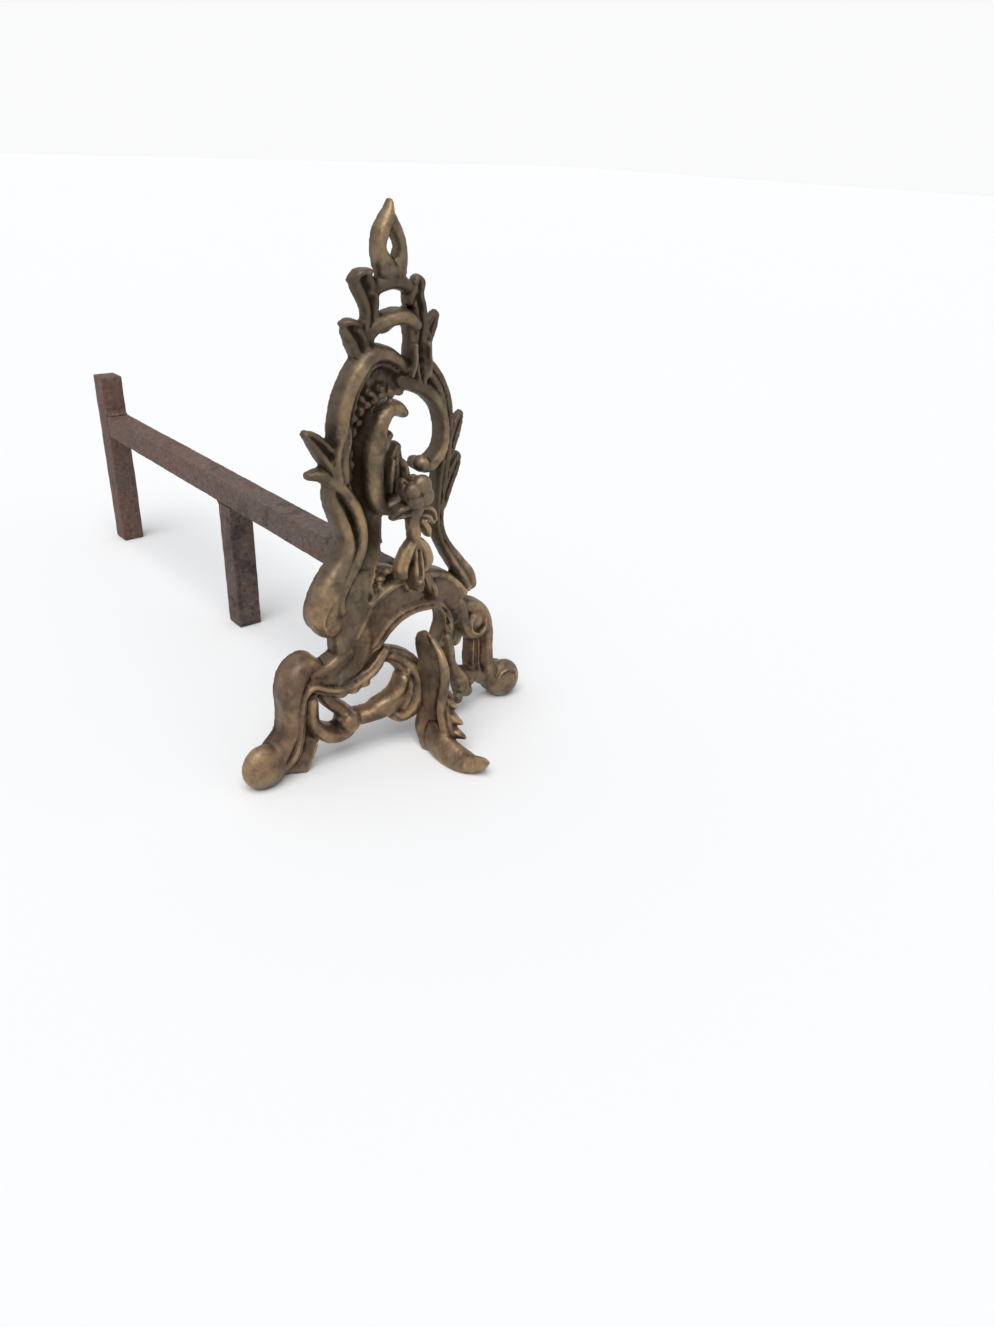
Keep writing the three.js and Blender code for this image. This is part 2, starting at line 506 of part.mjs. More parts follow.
// Square iron with rounded edges and ends, along Z from 0.
function squareIron(side, length) {
  const half = side / 2 - ARRIS;
  const shape = new THREE.Shape();
  shape.absarc(half, half, ARRIS / 2, 0, Math.PI / 2, false);
  shape.absarc(-half, half, ARRIS / 2, Math.PI / 2, Math.PI, false);
  shape.absarc(-half, -half, ARRIS / 2, Math.PI, Math.PI * 1.5, false);
  shape.absarc(half, -half, ARRIS / 2, Math.PI * 1.5, Math.PI * 2, false);
  const geometry = new THREE.ExtrudeGeometry(shape, {
    depth: length - ARRIS,
    steps: 1,
    curveSegments: 2,
    bevelEnabled: true,
    bevelThickness: ARRIS / 2,
    bevelSize: ARRIS / 2,
    bevelSegments: 1,
  });
  return geometry.translate(0, 0, ARRIS / 2);
}

function billetBar() {
  const length = POST_FRONT - 2 * SEAT_GAP;
  const iron = squareIron(BAR_SIDE, length).rotateX(-Math.PI / 2);
  let bar = toSolid(placed(iron, 0, SEAT_GAP, BAR_TOP - BAR_SIDE / 2));
  const underside = BAR_TOP - BAR_SIDE;
  for (const y of BOLT_PLACES) {
    bar = bar.subtract(rodZ(0, y, underside - 5, underside + BOLT_GRIP + 1, BOLT_DIAMETER / 2 + 0.1));
  }
  return bar;
}

function rearPost() {
  return toSolid(placed(squareIron(BAR_SIDE, POST_TOP), 0, POST_FRONT + BAR_SIDE / 2, 0));
}

function midLeg() {
  const iron = squareIron(BAR_SIDE, BAR_TOP - BAR_SIDE - SEAT_GAP);
  return toSolid(placed(iron, 0, MID_LEG_FRONT + BAR_SIDE / 2, 0));
}

// Hollow-faced fillet weld across X. Its corner is at (y, z) and its legs run
// towards the signs of dy and dz.
function weld(y, z, dy, dz) {
  const shape = new THREE.Shape();
  shape.moveTo(0, 0);
  shape.lineTo(dy * WELD_LEG, 0);
  shape.quadraticCurveTo(dy * WELD_LEG * 0.3, dz * WELD_LEG * 0.3, 0, dz * WELD_LEG);
  const geometry = new THREE.ExtrudeGeometry(shape, {
    depth: WELD_LENGTH, bevelEnabled: false, steps: 1, curveSegments: 4,
  });
  geometry.translate(0, 0, -WELD_LENGTH / 2).rotateX(Math.PI / 2).rotateZ(Math.PI / 2);
  return toSolid(placed(geometry, 0, y, z));
}

// ---------------------------------------------------------------- fasteners

function barBolt(y) {
  const headTop = lugBottom - WASHER_THICKNESS - 2 * SEAT_GAP;
  const shankTop = BAR_TOP - BAR_SIDE + BOLT_GRIP;
  const head = new THREE.CylinderGeometry(BOLT_HEAD_WIDTH / Math.sqrt(3), BOLT_HEAD_WIDTH / Math.sqrt(3),
    BOLT_HEAD_HEIGHT, 6).rotateX(Math.PI / 2);
  const headSolid = toSolid(placed(head, 0, y, headTop - BOLT_HEAD_HEIGHT / 2));
  return headSolid.add(rodZ(0, y, headTop - 1, shankTop, BOLT_DIAMETER / 2 - 0.1));
}

function barWasher(y) {
  const top = lugBottom - SEAT_GAP;
  const disc = rodZ(0, y, top - WASHER_THICKNESS, top, WASHER_DIAMETER / 2, 20);
  return disc.subtract(rodZ(0, y, top - 5, top + 5, BOLT_DIAMETER / 2 + BOLT_CLEARANCE));
}

function legScrew(z) {
  const seat = -LEG_PAD_BACK + SEAT_GAP;
  const tip = -legSeat - SEAT_GAP - LEG_SCREW_GRIP;
  const head = rodY(LEG_X, z, seat, seat + LEG_SCREW_HEAD_HEIGHT, LEG_SCREW_HEAD / 2);
  const slotFloor = seat + LEG_SCREW_HEAD_HEIGHT - 1.2;
  const slot = block(LEG_X - 0.6, LEG_X + 0.6, slotFloor, seat + 20, z - 10, z + 10);
  return head.add(rodY(LEG_X, z, tip, seat + 1, LEG_SCREW_DIAMETER / 2 - 0.1)).subtract(slot);
}

function dropRivet(z) {
  const seat = -RIVET_RECESS + SEAT_GAP;
  const head = rodY(dropX, z, seat, seat + RIVET_HEAD_HEIGHT, RIVET_HEAD / 2);
  const tip = -DROP_SEAT - SEAT_GAP - RIVET_GRIP;
  return head.add(rodY(dropX, z, tip, seat + 1, RIVET_DIAMETER / 2 - 0.1));
}

// ---------------------------------------------------------------- assembly

const castBrass = { color: 0x6b5a3a, roughness: 0.5, metalness: 0.8 };
const rustyIron = { color: 0x5d4a42, roughness: 0.85, metalness: 0.35 };
const oldSteel = { color: 0x4a4440, roughness: 0.7, metalness: 0.6 };

const andiron = new THREE.Group();

function add(name, solid, finish) {
  const mesh = new THREE.Mesh(toGeometry(solid), new THREE.MeshStandardMaterial(finish));
  mesh.name = name;
  andiron.add(mesh);
}

add('front_casting', frontCasting(), castBrass);
add('front_leg', frontLeg(), castBrass);
add('flower_drop', flowerDrop(), castBrass);
add('billet_bar', billetBar(), rustyIron);
add('rear_post', rearPost(), rustyIron);
add('mid_leg', midLeg(), rustyIron);

const barUnderside = BAR_TOP - BAR_SIDE - SEAT_GAP;
const postFace = POST_FRONT - SEAT_GAP;
add('post_weld_top', weld(postFace, BAR_TOP + SEAT_GAP, -1, 1), rustyIron);
add('post_weld_bottom', weld(postFace, barUnderside, -1, -1), rustyIron);
add('leg_weld_front', weld(MID_LEG_FRONT - SEAT_GAP, barUnderside, -1, -1), rustyIron);
add('leg_weld_rear', weld(MID_LEG_FRONT + BAR_SIDE + SEAT_GAP, barUnderside, 1, -1), rustyIron);

BOLT_PLACES.forEach((y, i) => {
  add(`bar_bolt_${i + 1}`, barBolt(y), oldSteel);
  add(`bar_washer_${i + 1}`, barWasher(y), oldSteel);
});
LEG_SCREW_HEIGHTS.forEach((z, i) => add(`leg_screw_${i + 1}`, legScrew(z), oldSteel));
rivetHeights.forEach((z, i) => add(`drop_rivet_${i + 1}`, dropRivet(z), castBrass));

// the origin becomes the bottom centre of the bounding box
const extent = new THREE.Box3().setFromObject(andiron);
const middle = extent.getCenter(new THREE.Vector3());
andiron.children.forEach((mesh) => mesh.geometry.translate(-middle.x, -middle.y, -extent.min.z));

export default andiron;
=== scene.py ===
"""A fireplace andiron, dressed for its portrait.

An openwork cast-brass front with a leaf-shaped front leg and a hanging flower,
and behind it a square iron log bar on a short leg and a rear post.

Shapes are worked out in millimetres in the maker's frame: X to the right seen
from the front, Y back along the bar from the casting's flat back, Z up from the
hearth, with X = 0 at the middle of the bar. They are moved to the CAD frame and
to metres when their mesh is made.
"""

import logging
import math
from dataclasses import dataclass
from enum import Enum
from typing import Any, Callable, Sequence

import bpy
import numpy as np
from mathutils import Matrix, Vector


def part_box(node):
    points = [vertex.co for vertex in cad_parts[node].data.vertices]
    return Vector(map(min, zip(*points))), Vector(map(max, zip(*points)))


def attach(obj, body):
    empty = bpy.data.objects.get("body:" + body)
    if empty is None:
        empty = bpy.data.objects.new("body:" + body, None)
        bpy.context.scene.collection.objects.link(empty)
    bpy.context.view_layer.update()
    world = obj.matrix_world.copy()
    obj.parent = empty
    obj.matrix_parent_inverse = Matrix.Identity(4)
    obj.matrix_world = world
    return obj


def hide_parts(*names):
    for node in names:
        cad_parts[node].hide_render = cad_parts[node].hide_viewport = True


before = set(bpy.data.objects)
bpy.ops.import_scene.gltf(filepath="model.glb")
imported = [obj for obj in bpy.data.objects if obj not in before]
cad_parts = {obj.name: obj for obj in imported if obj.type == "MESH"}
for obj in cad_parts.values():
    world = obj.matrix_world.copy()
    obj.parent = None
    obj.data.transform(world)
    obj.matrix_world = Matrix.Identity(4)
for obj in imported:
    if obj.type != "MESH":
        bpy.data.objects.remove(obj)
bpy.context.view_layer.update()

MM = 0.001
SEAT_GAP = 0.3  # air between pieces that touch
BODY = "root"
LOG = logging.getLogger("andiron")

Row = Sequence[float]


# ---------------------------------------------------------------- surfaces


@dataclass
class Surface:
    """A closed skin of quads and triangles.

    Attributes:
        points: Corner places, (n, 3), in millimetres in the maker's frame.
        quads: Corner numbers of the four-sided faces, (m, 4).
        tris: Corner numbers of the three-sided faces, (k, 3).
    """

    points: np.ndarray
    quads: np.ndarray
    tris: np.ndarray

    def outward(self) -> "Surface":
        """Turns the faces out: six times the signed volume must be positive.

        Returns:
            This skin, or one with every face turned round.
        """
        split = np.concatenate([self.tris, self.quads[:, [0, 1, 2]], self.quads[:, [0, 2, 3]]])
        a, b, c = (self.points[split[:, i]] for i in range(3))
        if np.einsum("ij,ij->i", a, np.cross(b, c)).sum() < 0:
            return Surface(self.points, self.quads[:, ::-1], self.tris[:, ::-1])
        return self

    @staticmethod
    def joined(parts: Sequence["Surface"]) -> "Surface":
        """Puts several skins into one, each still closed by itself.

        Args:
            parts: The skins.

        Returns:
            One skin with the points and faces of them all.
        """
        starts = np.cumsum([0] + [len(part.points) for part in parts[:-1]])
        return Surface(
            np.concatenate([part.points for part in parts]),
            np.concatenate([part.quads + start for part, start in zip(parts, starts)]),
            np.concatenate([part.tris + start for part, start in zip(parts, starts)]),
        )


def skin(rings: np.ndarray, first: np.ndarray, last: np.ndarray) -> Surface:
    """Closes a stack of rings: each ring joins the next, and a point closes each end.

    Args:
        rings: (rows, count, 3) places.
        first: The point before the first ring.
        last: The point after the last ring.

    Returns:
        The closed skin, faces out.
    """
    rows, count = rings.shape[:2]
    grid = np.arange(rows * count).reshape(rows, count)
    turned = np.roll(grid, -1, axis=1)
    quads = np.stack([grid[:-1], turned[:-1], turned[1:], grid[1:]], axis=-1).reshape(-1, 4)
    ends = rows * count
    start_fan = np.stack([np.full(count, ends), turned[0], grid[0]], axis=-1)
    end_fan = np.stack([np.full(count, ends + 1), grid[-1], turned[-1]], axis=-1)
    points = np.concatenate([rings.reshape(-1, 3), first[None], last[None]])
    return Surface(points, quads, np.concatenate([start_fan, end_fan])).outward()


def through(points: np.ndarray, count: int, closed: bool = False) -> np.ndarray:
    """A smooth curve through points, by centripetal Catmull-Rom.

    Each span is a cubic whose end slopes come from its neighbours, weighted by the
    square roots of the distances between the points.

    Args:
        points: (n, k) rows to pass through.
        count: How many places to take, spread evenly over the spans.
        closed: Whether the curve returns to its start.

    Returns:
        (count, k) places.
    """
    p = np.asarray(points, float)
    if closed:
        p = np.concatenate([p[-1:], p, p[:2]])
    else:
        p = np.concatenate([2 * p[:1] - p[1:2], p, 2 * p[-1:] - p[-2:-1]])
    spans = len(p) - 3
    place = np.linspace(0, spans, count, endpoint=not closed)
    i = np.minimum(place.astype(int), spans - 1)
    s = (place - i)[:, None]
    gaps = np.maximum(np.linalg.norm(np.diff(p, axis=0), axis=1) ** 0.5, 1e-2)[:, None]
    d0, d1, d2 = gaps[i], gaps[i + 1], gaps[i + 2]
    a, b, c, d = p[i], p[i + 1], p[i + 2], p[i + 3]
    t1 = ((b - a) / d0 - (c - a) / (d0 + d1) + (c - b) / d1) * d1
    t2 = ((c - b) / d1 - (d - b) / (d1 + d2) + (d - c) / d2) * d1
    return b + t1 * s + (3 * (c - b) - 2 * t1 - t2) * s**2 + (2 * (b - c) + t1 + t2) * s**3


WAVES = 14
WAVE_PEAK = 3.7  # what a sum of so many waves seldom passes


def ripple(points: np.ndarray, length: float, seed: int) -> np.ndarray:
    """Smooth random unevenness, about -1 to 1: a sum of sine waves in random directions.

    Args:
        points: (n, 3) places in millimetres.
        length: Mean wave length in millimetres.
        seed: Seed of the draw.

    Returns:
        (n,) heights.
    """
    draw = np.random.default_rng(seed)
    ways = draw.normal(size=(WAVES, 3))
    spread = draw.uniform(0.6, 1.5, (WAVES, 1))
    ways *= (2 * math.pi / length) * spread / np.linalg.norm(ways, axis=1, keepdims=True)
    starts = draw.uniform(0, 2 * math.pi, WAVES)
    return np.sin(points @ ways.T + starts).sum(axis=1) / WAVE_PEAK


# ---------------------------------------------------------------- mouldings


def bump(a: np.ndarray, middle: float, width: float) -> np.ndarray:
    """A bell exp(-((a - middle) / width)^2)."""
    return np.exp(-(((a - middle) / width) ** 2))


ROUND_SIDE = 0.42  # height of a round's upright sides
ROUND_RISE = 0.58  # how far its back rises above them
LOWEST_FACE = 0.05  # no face comes nearer to the flat back, as a share of the depth


def rounded(a: np.ndarray) -> np.ndarray:
    """A full round on upright sides: side + rise (1 - |a|^2.6)^0.6, 0 to 1."""
    return ROUND_SIDE + ROUND_RISE * (1 - np.abs(a) ** 2.6) ** 0.6


class Moulding(Enum):
    """The sections of the cast members, across from -1 to 1."""

    ROLL = "roll"
    BEADED = "beaded"
    CROWN = "crown"
    LEAF = "leaf"
    FLUTED = "fluted"
    WEB = "web"
    COVE = "cove"
    FASCIA = "fascia"
    CHANNEL = "channel"
    CUPPED = "cupped"
    SWELL = "swell"

    def heights(self, a: np.ndarray) -> np.ndarray:
        """Height of the section's face at each place across, as a share of the depth.

        Args:
            a: Places across, -1 to 1.

        Returns:
            Heights, 0 at the flat back to 1.
        """
        full = rounded(a)
        forms: dict[Moulding, Callable[[], np.ndarray]] = {
            # one full round
            Moulding.ROLL: lambda: full,
            # a round with a quirk cut along each side
            Moulding.BEADED: lambda: full
            - 0.2 * bump(a, 0.46, 0.16)
            - 0.2 * bump(a, -0.46, 0.16),
            # a round outside, then a quirk and a thin fillet inside
            Moulding.CROWN: lambda: rounded(np.clip(np.abs(a + 0.22) / 0.8, 0, 1))
            + 0.3 * bump(a, 0.82, 0.13),
            # a rib along the middle of a sloping blade, hollow on both sides
            Moulding.LEAF: lambda: full * 0.82 + 0.17 * bump(a, 0, 0.3),
            # three ribs and two flutes
            Moulding.FLUTED: lambda: full * (0.9 + 0.1 * np.cos(3 * math.pi * a)),
            # a low flat face
            Moulding.WEB: lambda: 0.8 + 0.1 * (1 - a**2),
            # a hollow between two raised rims
            Moulding.COVE: lambda: 0.66 + 0.3 * np.abs(a) ** 2.5,
            # two beads along the lower edge of a broad hollow face
            Moulding.FASCIA: lambda: 0.8
            + 0.2 * bump(a, -0.9, 0.12)
            + 0.17 * bump(a, -0.58, 0.11)
            + 0.16 * np.clip(a, 0, 1) ** 1.5,
            # a band with one long hollow down its middle
            Moulding.CHANNEL: lambda: full - 0.2 * bump(a, 0.05, 0.3),
            # a blade with one broad soft hollow
            Moulding.CUPPED: lambda: full - 0.36 * bump(a, 0.05, 0.42),
            # a broad face that rises a little to soft shoulders
            Moulding.SWELL: lambda: 0.5
            + 0.5 * (1 - np.abs(a) ** 5) ** 0.5
            - 0.1 * bump(a, 0, 0.5),
        }
        return np.clip(forms[self](), LOWEST_FACE, 1.0)


CAP_ANGLES = np.radians([84, 66, 48, 30, 14])
END_DEPTH = 0.35  # what is left of a member's depth where its end has narrowed to nothing
RING_STEP = 1.6  # from ring to ring along a member, in mm
FEWEST_RINGS = 8
FORWARD = np.array([0.0, -1.0, 0.0])
SWAP_YZ = [0, 2, 1]


def cast_member(rows: Sequence[Row], moulding: Moulding, across_count: int = 33) -> Surface:
    """A moulding carried along a curve in the casting's plane, with rounded ends.

    Place = centre + across * a * half width + forward * height(a) * depth. At an end
    the rings step out by sin(angle) half widths and narrow by cos(angle), and their
    depth falls with them.

    Args:
        rows: [x, z, half width, depth] and where it isn't 0 the distance of the flat
            back in front of the casting's back, in millimetres.
        moulding: The section.
        across_count: Places across the section.

    Returns:
        The member's closed skin.
    """
    table = np.array([list(row) + [0.0] * (5 - len(row)) for row in rows], float)
    rough_length = np.linalg.norm(np.diff(table[:, :2], axis=0), axis=1).sum()
    count = max(FEWEST_RINGS, int(rough_length / RING_STEP))
    centre = through(np.stack([table[:, 0], -table[:, 4], table[:, 1]], axis=1), count)
    half, depth = through(table[:, 2:4], count).T
    along = np.gradient(centre, axis=0)
    along[:, 1] = 0
    along /= np.linalg.norm(along, axis=1, keepdims=True)
    caps = len(CAP_ANGLES)
    pick = np.r_[np.zeros(caps, int), np.arange(count), np.full(caps, count - 1)]
    reach = np.r_[-np.sin(CAP_ANGLES), np.zeros(count), np.sin(CAP_ANGLES[::-1])]
    narrow = np.r_[np.cos(CAP_ANGLES), np.ones(count), np.cos(CAP_ANGLES[::-1])]
    centre, half, depth, along = centre[pick], half[pick], depth[pick], along[pick]
    across = np.stack([-along[:, 2], along[:, 1], along[:, 0]], axis=1)
    a = np.linspace(-1, 1, across_count)
    b = moulding.heights(a)
    a = np.r_[-1, a, 1]
    b = np.r_[0, b, 0]
    flatten = (END_DEPTH + (1 - END_DEPTH) * narrow) * depth
    rings = (
        (centre + along * (reach * half)[:, None])[:, None, :]
        + across[:, None, :] * (a[None, :] * (half * narrow)[:, None])[..., None]
        + FORWARD * (b[None, :] * flatten[:, None])[..., None]
    )
    tips = [
        centre[k] + along[k] * side * half[k] + np.array([0.0, -0.15 * depth[k], 0.0])
        for k, side in ((0, -1.0), (-1, 1.0))
    ]
    return skin(rings, tips[0], tips[1])


KNOB_TURNS = 28  # places round a knob
TURNED_SIDES = 32  # places round a turned form


def knob(x: float, y: float, z: float, rx: float, ry: float, rz: float) -> Surface:
    """An egg: (rx sin v cos u, ry sin v sin u, rz cos v) round its middle.

    Args:
        x, y, z: The middle.
        rx, ry, rz: The half axes.

    Returns:
        The egg's closed skin.
    """
    u = np.linspace(0, 2 * math.pi, KNOB_TURNS, endpoint=False)[None, :]
    v = np.linspace(0, math.pi, KNOB_TURNS // 2 + 1)[1:-1, None]
    level = z + rz * np.cos(v) + 0 * u
    rings = np.stack(
        [x + rx * np.sin(v) * np.cos(u), y + ry * np.sin(v) * np.sin(u), level], axis=-1
    )
    return skin(rings, np.array([x, y, z + rz]), np.array([x, y, z - rz]))


UNIT_CORNERS = np.array([
    [0, 0, 0], [1, 0, 0], [1, 1, 0], [0, 1, 0], [0, 0, 1], [1, 0, 1], [1, 1, 1], [0, 1, 1],
])
BOX_FACES = np.array([
    [3, 2, 1, 0], [4, 5, 6, 7], [0, 1, 5, 4], [1, 2, 6, 5], [2, 3, 7, 6], [3, 0, 4, 7],
])


def block(low: Row, high: Row) -> Surface:
    """An upright box between two corners.

    Args:
        low: Its lowest x, y and z.
        high: Its highest x, y and z.

    Returns:
        The closed skin.
    """
    points = np.array(low) + UNIT_CORNERS * (np.array(high) - np.array(low))
    return Surface(points, BOX_FACES, np.zeros((0, 3), int)).outward()


Stations = Sequence[tuple[float, float]]


def turned(axis: str, centre: tuple[float, float], stations: Stations) -> Surface:
    """A turned form: circles of given radius at given places along Y or Z.

    Args:
        axis: "y" or "z".
        centre: (x, z) of a form along Y, (x, y) of one along Z.
        stations: (place along the axis, radius) from one end to the other.

    Returns:
        The closed skin.
    """
    angle = np.linspace(0, 2 * math.pi, TURNED_SIDES, endpoint=False)
    at, radius = np.array(stations, float).T
    first = centre[0] + radius[:, None] * np.cos(angle)
    second = centre[1] + radius[:, None] * np.sin(angle)
    rings = np.stack([first, second, at[:, None] + 0 * angle], axis=-1)
    ends = [np.array([centre[0], centre[1], end]) for end in at[[0, -1]]]
    if axis == "y":
        rings = rings[..., SWAP_YZ]
        ends = [end[SWAP_YZ] for end in ends]
    return skin(rings, ends[0], ends[1])


# ---------------------------------------------------------------- pieces


def casting_origin() -> np.ndarray:
    """The maker's origin in the CAD frame in metres: under the bar, at the casting's back."""
    low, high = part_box("billet_bar")
    return np.array([(low.x + high.x) / 2, low.y - SEAT_GAP * MM, 0.0])


def make_object(name: str, surface: Surface) -> bpy.types.Object:
    """A mesh object from a skin, at the origin, in metres, in the CAD frame.

    Args:
        name: The piece's name.
        surface: Its skin in the maker's frame.

    Returns:
        The new object, linked to the scene.
    """
    mesh = bpy.data.meshes.new(name)
    places = surface.points * MM + casting_origin()
    mesh.from_pydata(places.tolist(), [], surface.quads.tolist() + surface.tris.tolist())
    mesh.update()
    piece = bpy.data.objects.new(name, mesh)
    bpy.context.scene.collection.objects.link(piece)
    return piece


def settle(piece: bpy.types.Object) -> None:
    """Turns the piece's modifiers into its mesh.

    Args:
        piece: The piece, which keeps its name.
    """
    bpy.context.view_layer.update()
    depsgraph = bpy.context.evaluated_depsgraph_get()
    mesh = bpy.data.meshes.new_from_object(piece.evaluated_get(depsgraph))
    piece.modifiers.clear()
    piece.data = mesh
    mesh.name = piece.name


def cast_together(piece: bpy.types.Object, grain: float) -> None:
    """Makes one skin of the piece's overlapping skins.

    Args:
        piece: The piece.
        grain: Size of the cells of the new skin, in millimetres.
    """
    remesh = piece.modifiers.new("cast", "REMESH")
    remesh.mode = "VOXEL"
    remesh.voxel_size = grain * MM
    remesh.adaptivity = 0.0
    settle(piece)


def cut_away(piece: bpy.types.Object, tools: Sequence[Surface]) -> None:
    """Takes the space of each tool out of the piece.

    Args:
        piece: The piece, closed.
        tools: Closed skins, taken out one after the other.
    """
    for number, tool in enumerate(tools):
        cutter = make_object(f"tool_{number}", tool)
        cut = piece.modifiers.new("cut", "BOOLEAN")
        cut.operation = "DIFFERENCE"
        cut.solver = "MANIFOLD"
        cut.object = cutter
        settle(piece)
        bpy.data.objects.remove(cutter)


RELIEF_PULL = 0.6  # share of the way to the neighbours' mean in a round of relief


class Skin:
    """The corners and edges of a finished mesh, for work on whole arrays."""

    def __init__(self, piece: bpy.types.Object) -> None:
        """Reads the mesh of a piece.

        Args:
            piece: The piece, with no modifiers left.
        """
        self.mesh = piece.data
        count = len(self.mesh.vertices)
        flat = np.empty(count * 3, np.float32)
        self.mesh.vertices.foreach_get("co", flat)
        self.places = flat.reshape(-1, 3).astype(float)
        pairs = np.empty(len(self.mesh.edges) * 2, np.int32)
        self.mesh.edges.foreach_get("vertices", pairs)
        pairs = pairs.reshape(-1, 2)
        self.ends = np.concatenate([pairs, pairs[:, ::-1]])
        self.valence = np.maximum(np.bincount(self.ends[:, 0], minlength=count), 1)[:, None]

    def middles(self, values: np.ndarray) -> np.ndarray:
        """The mean of each corner's neighbours.

        Args:
            values: (n, k) numbers of the corners.

        Returns:
            (n, k) means.
        """
        corner, neighbour = self.ends.T
        near = values[neighbour]
        sums = [np.bincount(corner, near[:, k], len(values)) for k in range(values.shape[1])]
        return np.stack(sums, axis=1) / self.valence

    def eased(self, rounds: int, pull: float, push: float) -> np.ndarray:
        """Places after rounds of easing: a step towards the neighbours' mean, then one back.

        Args:
            rounds: How many pairs of steps.
            pull: Share of the way towards the mean.
            push: Share of the way back, which keeps the volume.

        Returns:
            The new places.
        """
        places = self.places.copy()
        for _ in range(rounds):
            places += pull * (self.middles(places) - places)
            places -= push * (self.middles(places) - places)
        return places

    def normals(self) -> np.ndarray:
        """Outward directions at the corners.

        Returns:
            (n, 3) unit vectors.
        """
        flat = np.empty(len(self.mesh.vertices) * 3, np.float32)
        self.mesh.vertex_normals.foreach_get("vector", flat)
        return flat.reshape(-1, 3)

    def write(self, places: np.ndarray) -> None:
        """Moves the corners.

        Args:
            places: (n, 3) new places in metres.
        """
        self.places = places
        self.mesh.vertices.foreach_set("co", places.astype(np.float32).ravel())
        self.mesh.update()

    def mark(self, name: str, values: np.ndarray) -> None:
        """Keeps one number for each corner under a name."""
        layer = self.mesh.attributes.new(name, "FLOAT", "POINT")
        layer.data.foreach_set("value", values.astype(np.float32))

    def relief(self, reach: float, span: float) -> np.ndarray:
        """How hollow or proud the skin is at each corner.

        The places are smoothed for (reach / mesh width)^2 rounds. Where that moves a
        corner outward it lay in a hollow, where it moves it inward it stood proud.

        Args:
            reach: Width in millimetres of the forms to look at.
            span: The movement in millimetres that counts as fully hollow or proud.

        Returns:
            0 in the deepest hollow, 0.5 on the flat, 1 on the sharpest edge.
        """
        corner, neighbour = self.ends.T
        steps = np.linalg.norm(self.places[corner] - self.places[neighbour], axis=1)
        rounds = int((reach * MM / np.median(steps)) ** 2)
        moved = self.eased(rounds, RELIEF_PULL, 0.0) - self.places
        lift = np.einsum("ij,ij->i", moved, self.normals()) / MM
        return np.clip(0.5 - lift / (2 * span), 0, 1)


EASE_STEP = (0.5, 0.49)  # towards the neighbours' mean, and back
SWELLS = (0.09, 9)  # height and length of a casting's broad unevenness, in mm
RIPPLES = (0.05, 3.5)  # and of its fine unevenness
EDGE_FORMS = (2.6, 0.34)  # reach and span of the relief that wear and the painted shade in creases follow, in mm
HOLLOW_FORMS = (9.5, 2.6)  # and of the relief that soot and the painted shade in hollows follow


def finish_casting(piece: bpy.types.Object, ease: int, seed: int) -> None:
    """Gives a cast piece its soft corners, slight unevenness and the marks for its patina, wear and
    painted shade.

    Args:
        piece: The piece, one closed skin.
        ease: Rounds of easing of its corners.
        seed: Seed of its unevenness.
    """
    shell = Skin(piece)
    shell.write(shell.eased(ease, *EASE_STEP))
    away = shell.normals()
    local = shell.places / MM
    uneven = sum(
        height * ripple(local, length, seed + turn)
        for turn, (height, length) in enumerate((SWELLS, RIPPLES))
    )
    places = shell.places + away * (uneven * MM)[:, None]
    places[:, 2] = np.maximum(places[:, 2], 0)
    shell.write(places)
    shell.mark("edge", shell.relief(*EDGE_FORMS))
    shell.mark("hollow", shell.relief(*HOLLOW_FORMS))
    piece.data.shade_smooth()


def dress(
    piece: bpy.types.Object, material: bpy.types.Material, nodes: Sequence[str]
) -> None:
    """Gives a piece its material and its place in the record.

    Args:
        piece: The piece.
        material: Its finish.
        nodes: The CAD nodes that it stands for.
    """
    piece.data.materials.clear()
    piece.data.materials.append(material)
    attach(piece, BODY)
    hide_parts(*nodes)
    piece.data.calc_loop_triangles()
    LOG.info("%s: %d triangles", piece.name, len(piece.data.loop_triangles))


# ---------------------------------------------------------------- finishes


class Value:
    """A number in a material that grows Math nodes when it is used in an expression."""

    def __init__(self, recipe: "Recipe", socket: bpy.types.NodeSocket) -> None:
        """Wraps an output socket of a recipe's node."""
        self.recipe = recipe
        self.socket = socket

    def _math(self, operation: str, first: Any, second: Any) -> "Value":
        """One Math node on two numbers or values."""
        node = self.recipe.node("ShaderNodeMath", {"operation": operation}, {0: first, 1: second})
        return Value(self.recipe, node.outputs[0])

    def __add__(self, other: Any) -> "Value":
        """self + other."""
        return self._math("ADD", self, other)

    def __radd__(self, other: Any) -> "Value":
        """other + self."""
        return self._math("ADD", other, self)

    def __sub__(self, other: Any) -> "Value":
        """self - other."""
        return self._math("SUBTRACT", self, other)

    def __rsub__(self, other: Any) -> "Value":
        """other - self."""
        return self._math("SUBTRACT", other, self)

    def __mul__(self, other: Any) -> "Value":
        """self * other."""
        return self._math("MULTIPLY", self, other)

    def __rmul__(self, other: Any) -> "Value":
        """other * self."""
        return self._math("MULTIPLY", other, self)

    def most(self, other: Any) -> "Value":
        """The greater of two."""
        return self._math("MAXIMUM", self, other)

    def over(self, low: float, high: float) -> "Value":
        """A soft step.

        Args:
            low: Where the step starts.
            high: Where it ends. Below low, the step falls from 1 to 0.

        Returns:
            0 below low, 1 above high.
        """
        if low > high:
            return 1 - self.over(high, low)
        settings = {"interpolation_type": "SMOOTHSTEP"}
        inputs = {"Value": self, "From Min": low, "From Max": high}
        node = self.recipe.node("ShaderNodeMapRange", settings, inputs)
        return Value(self.recipe, node.outputs["Result"])


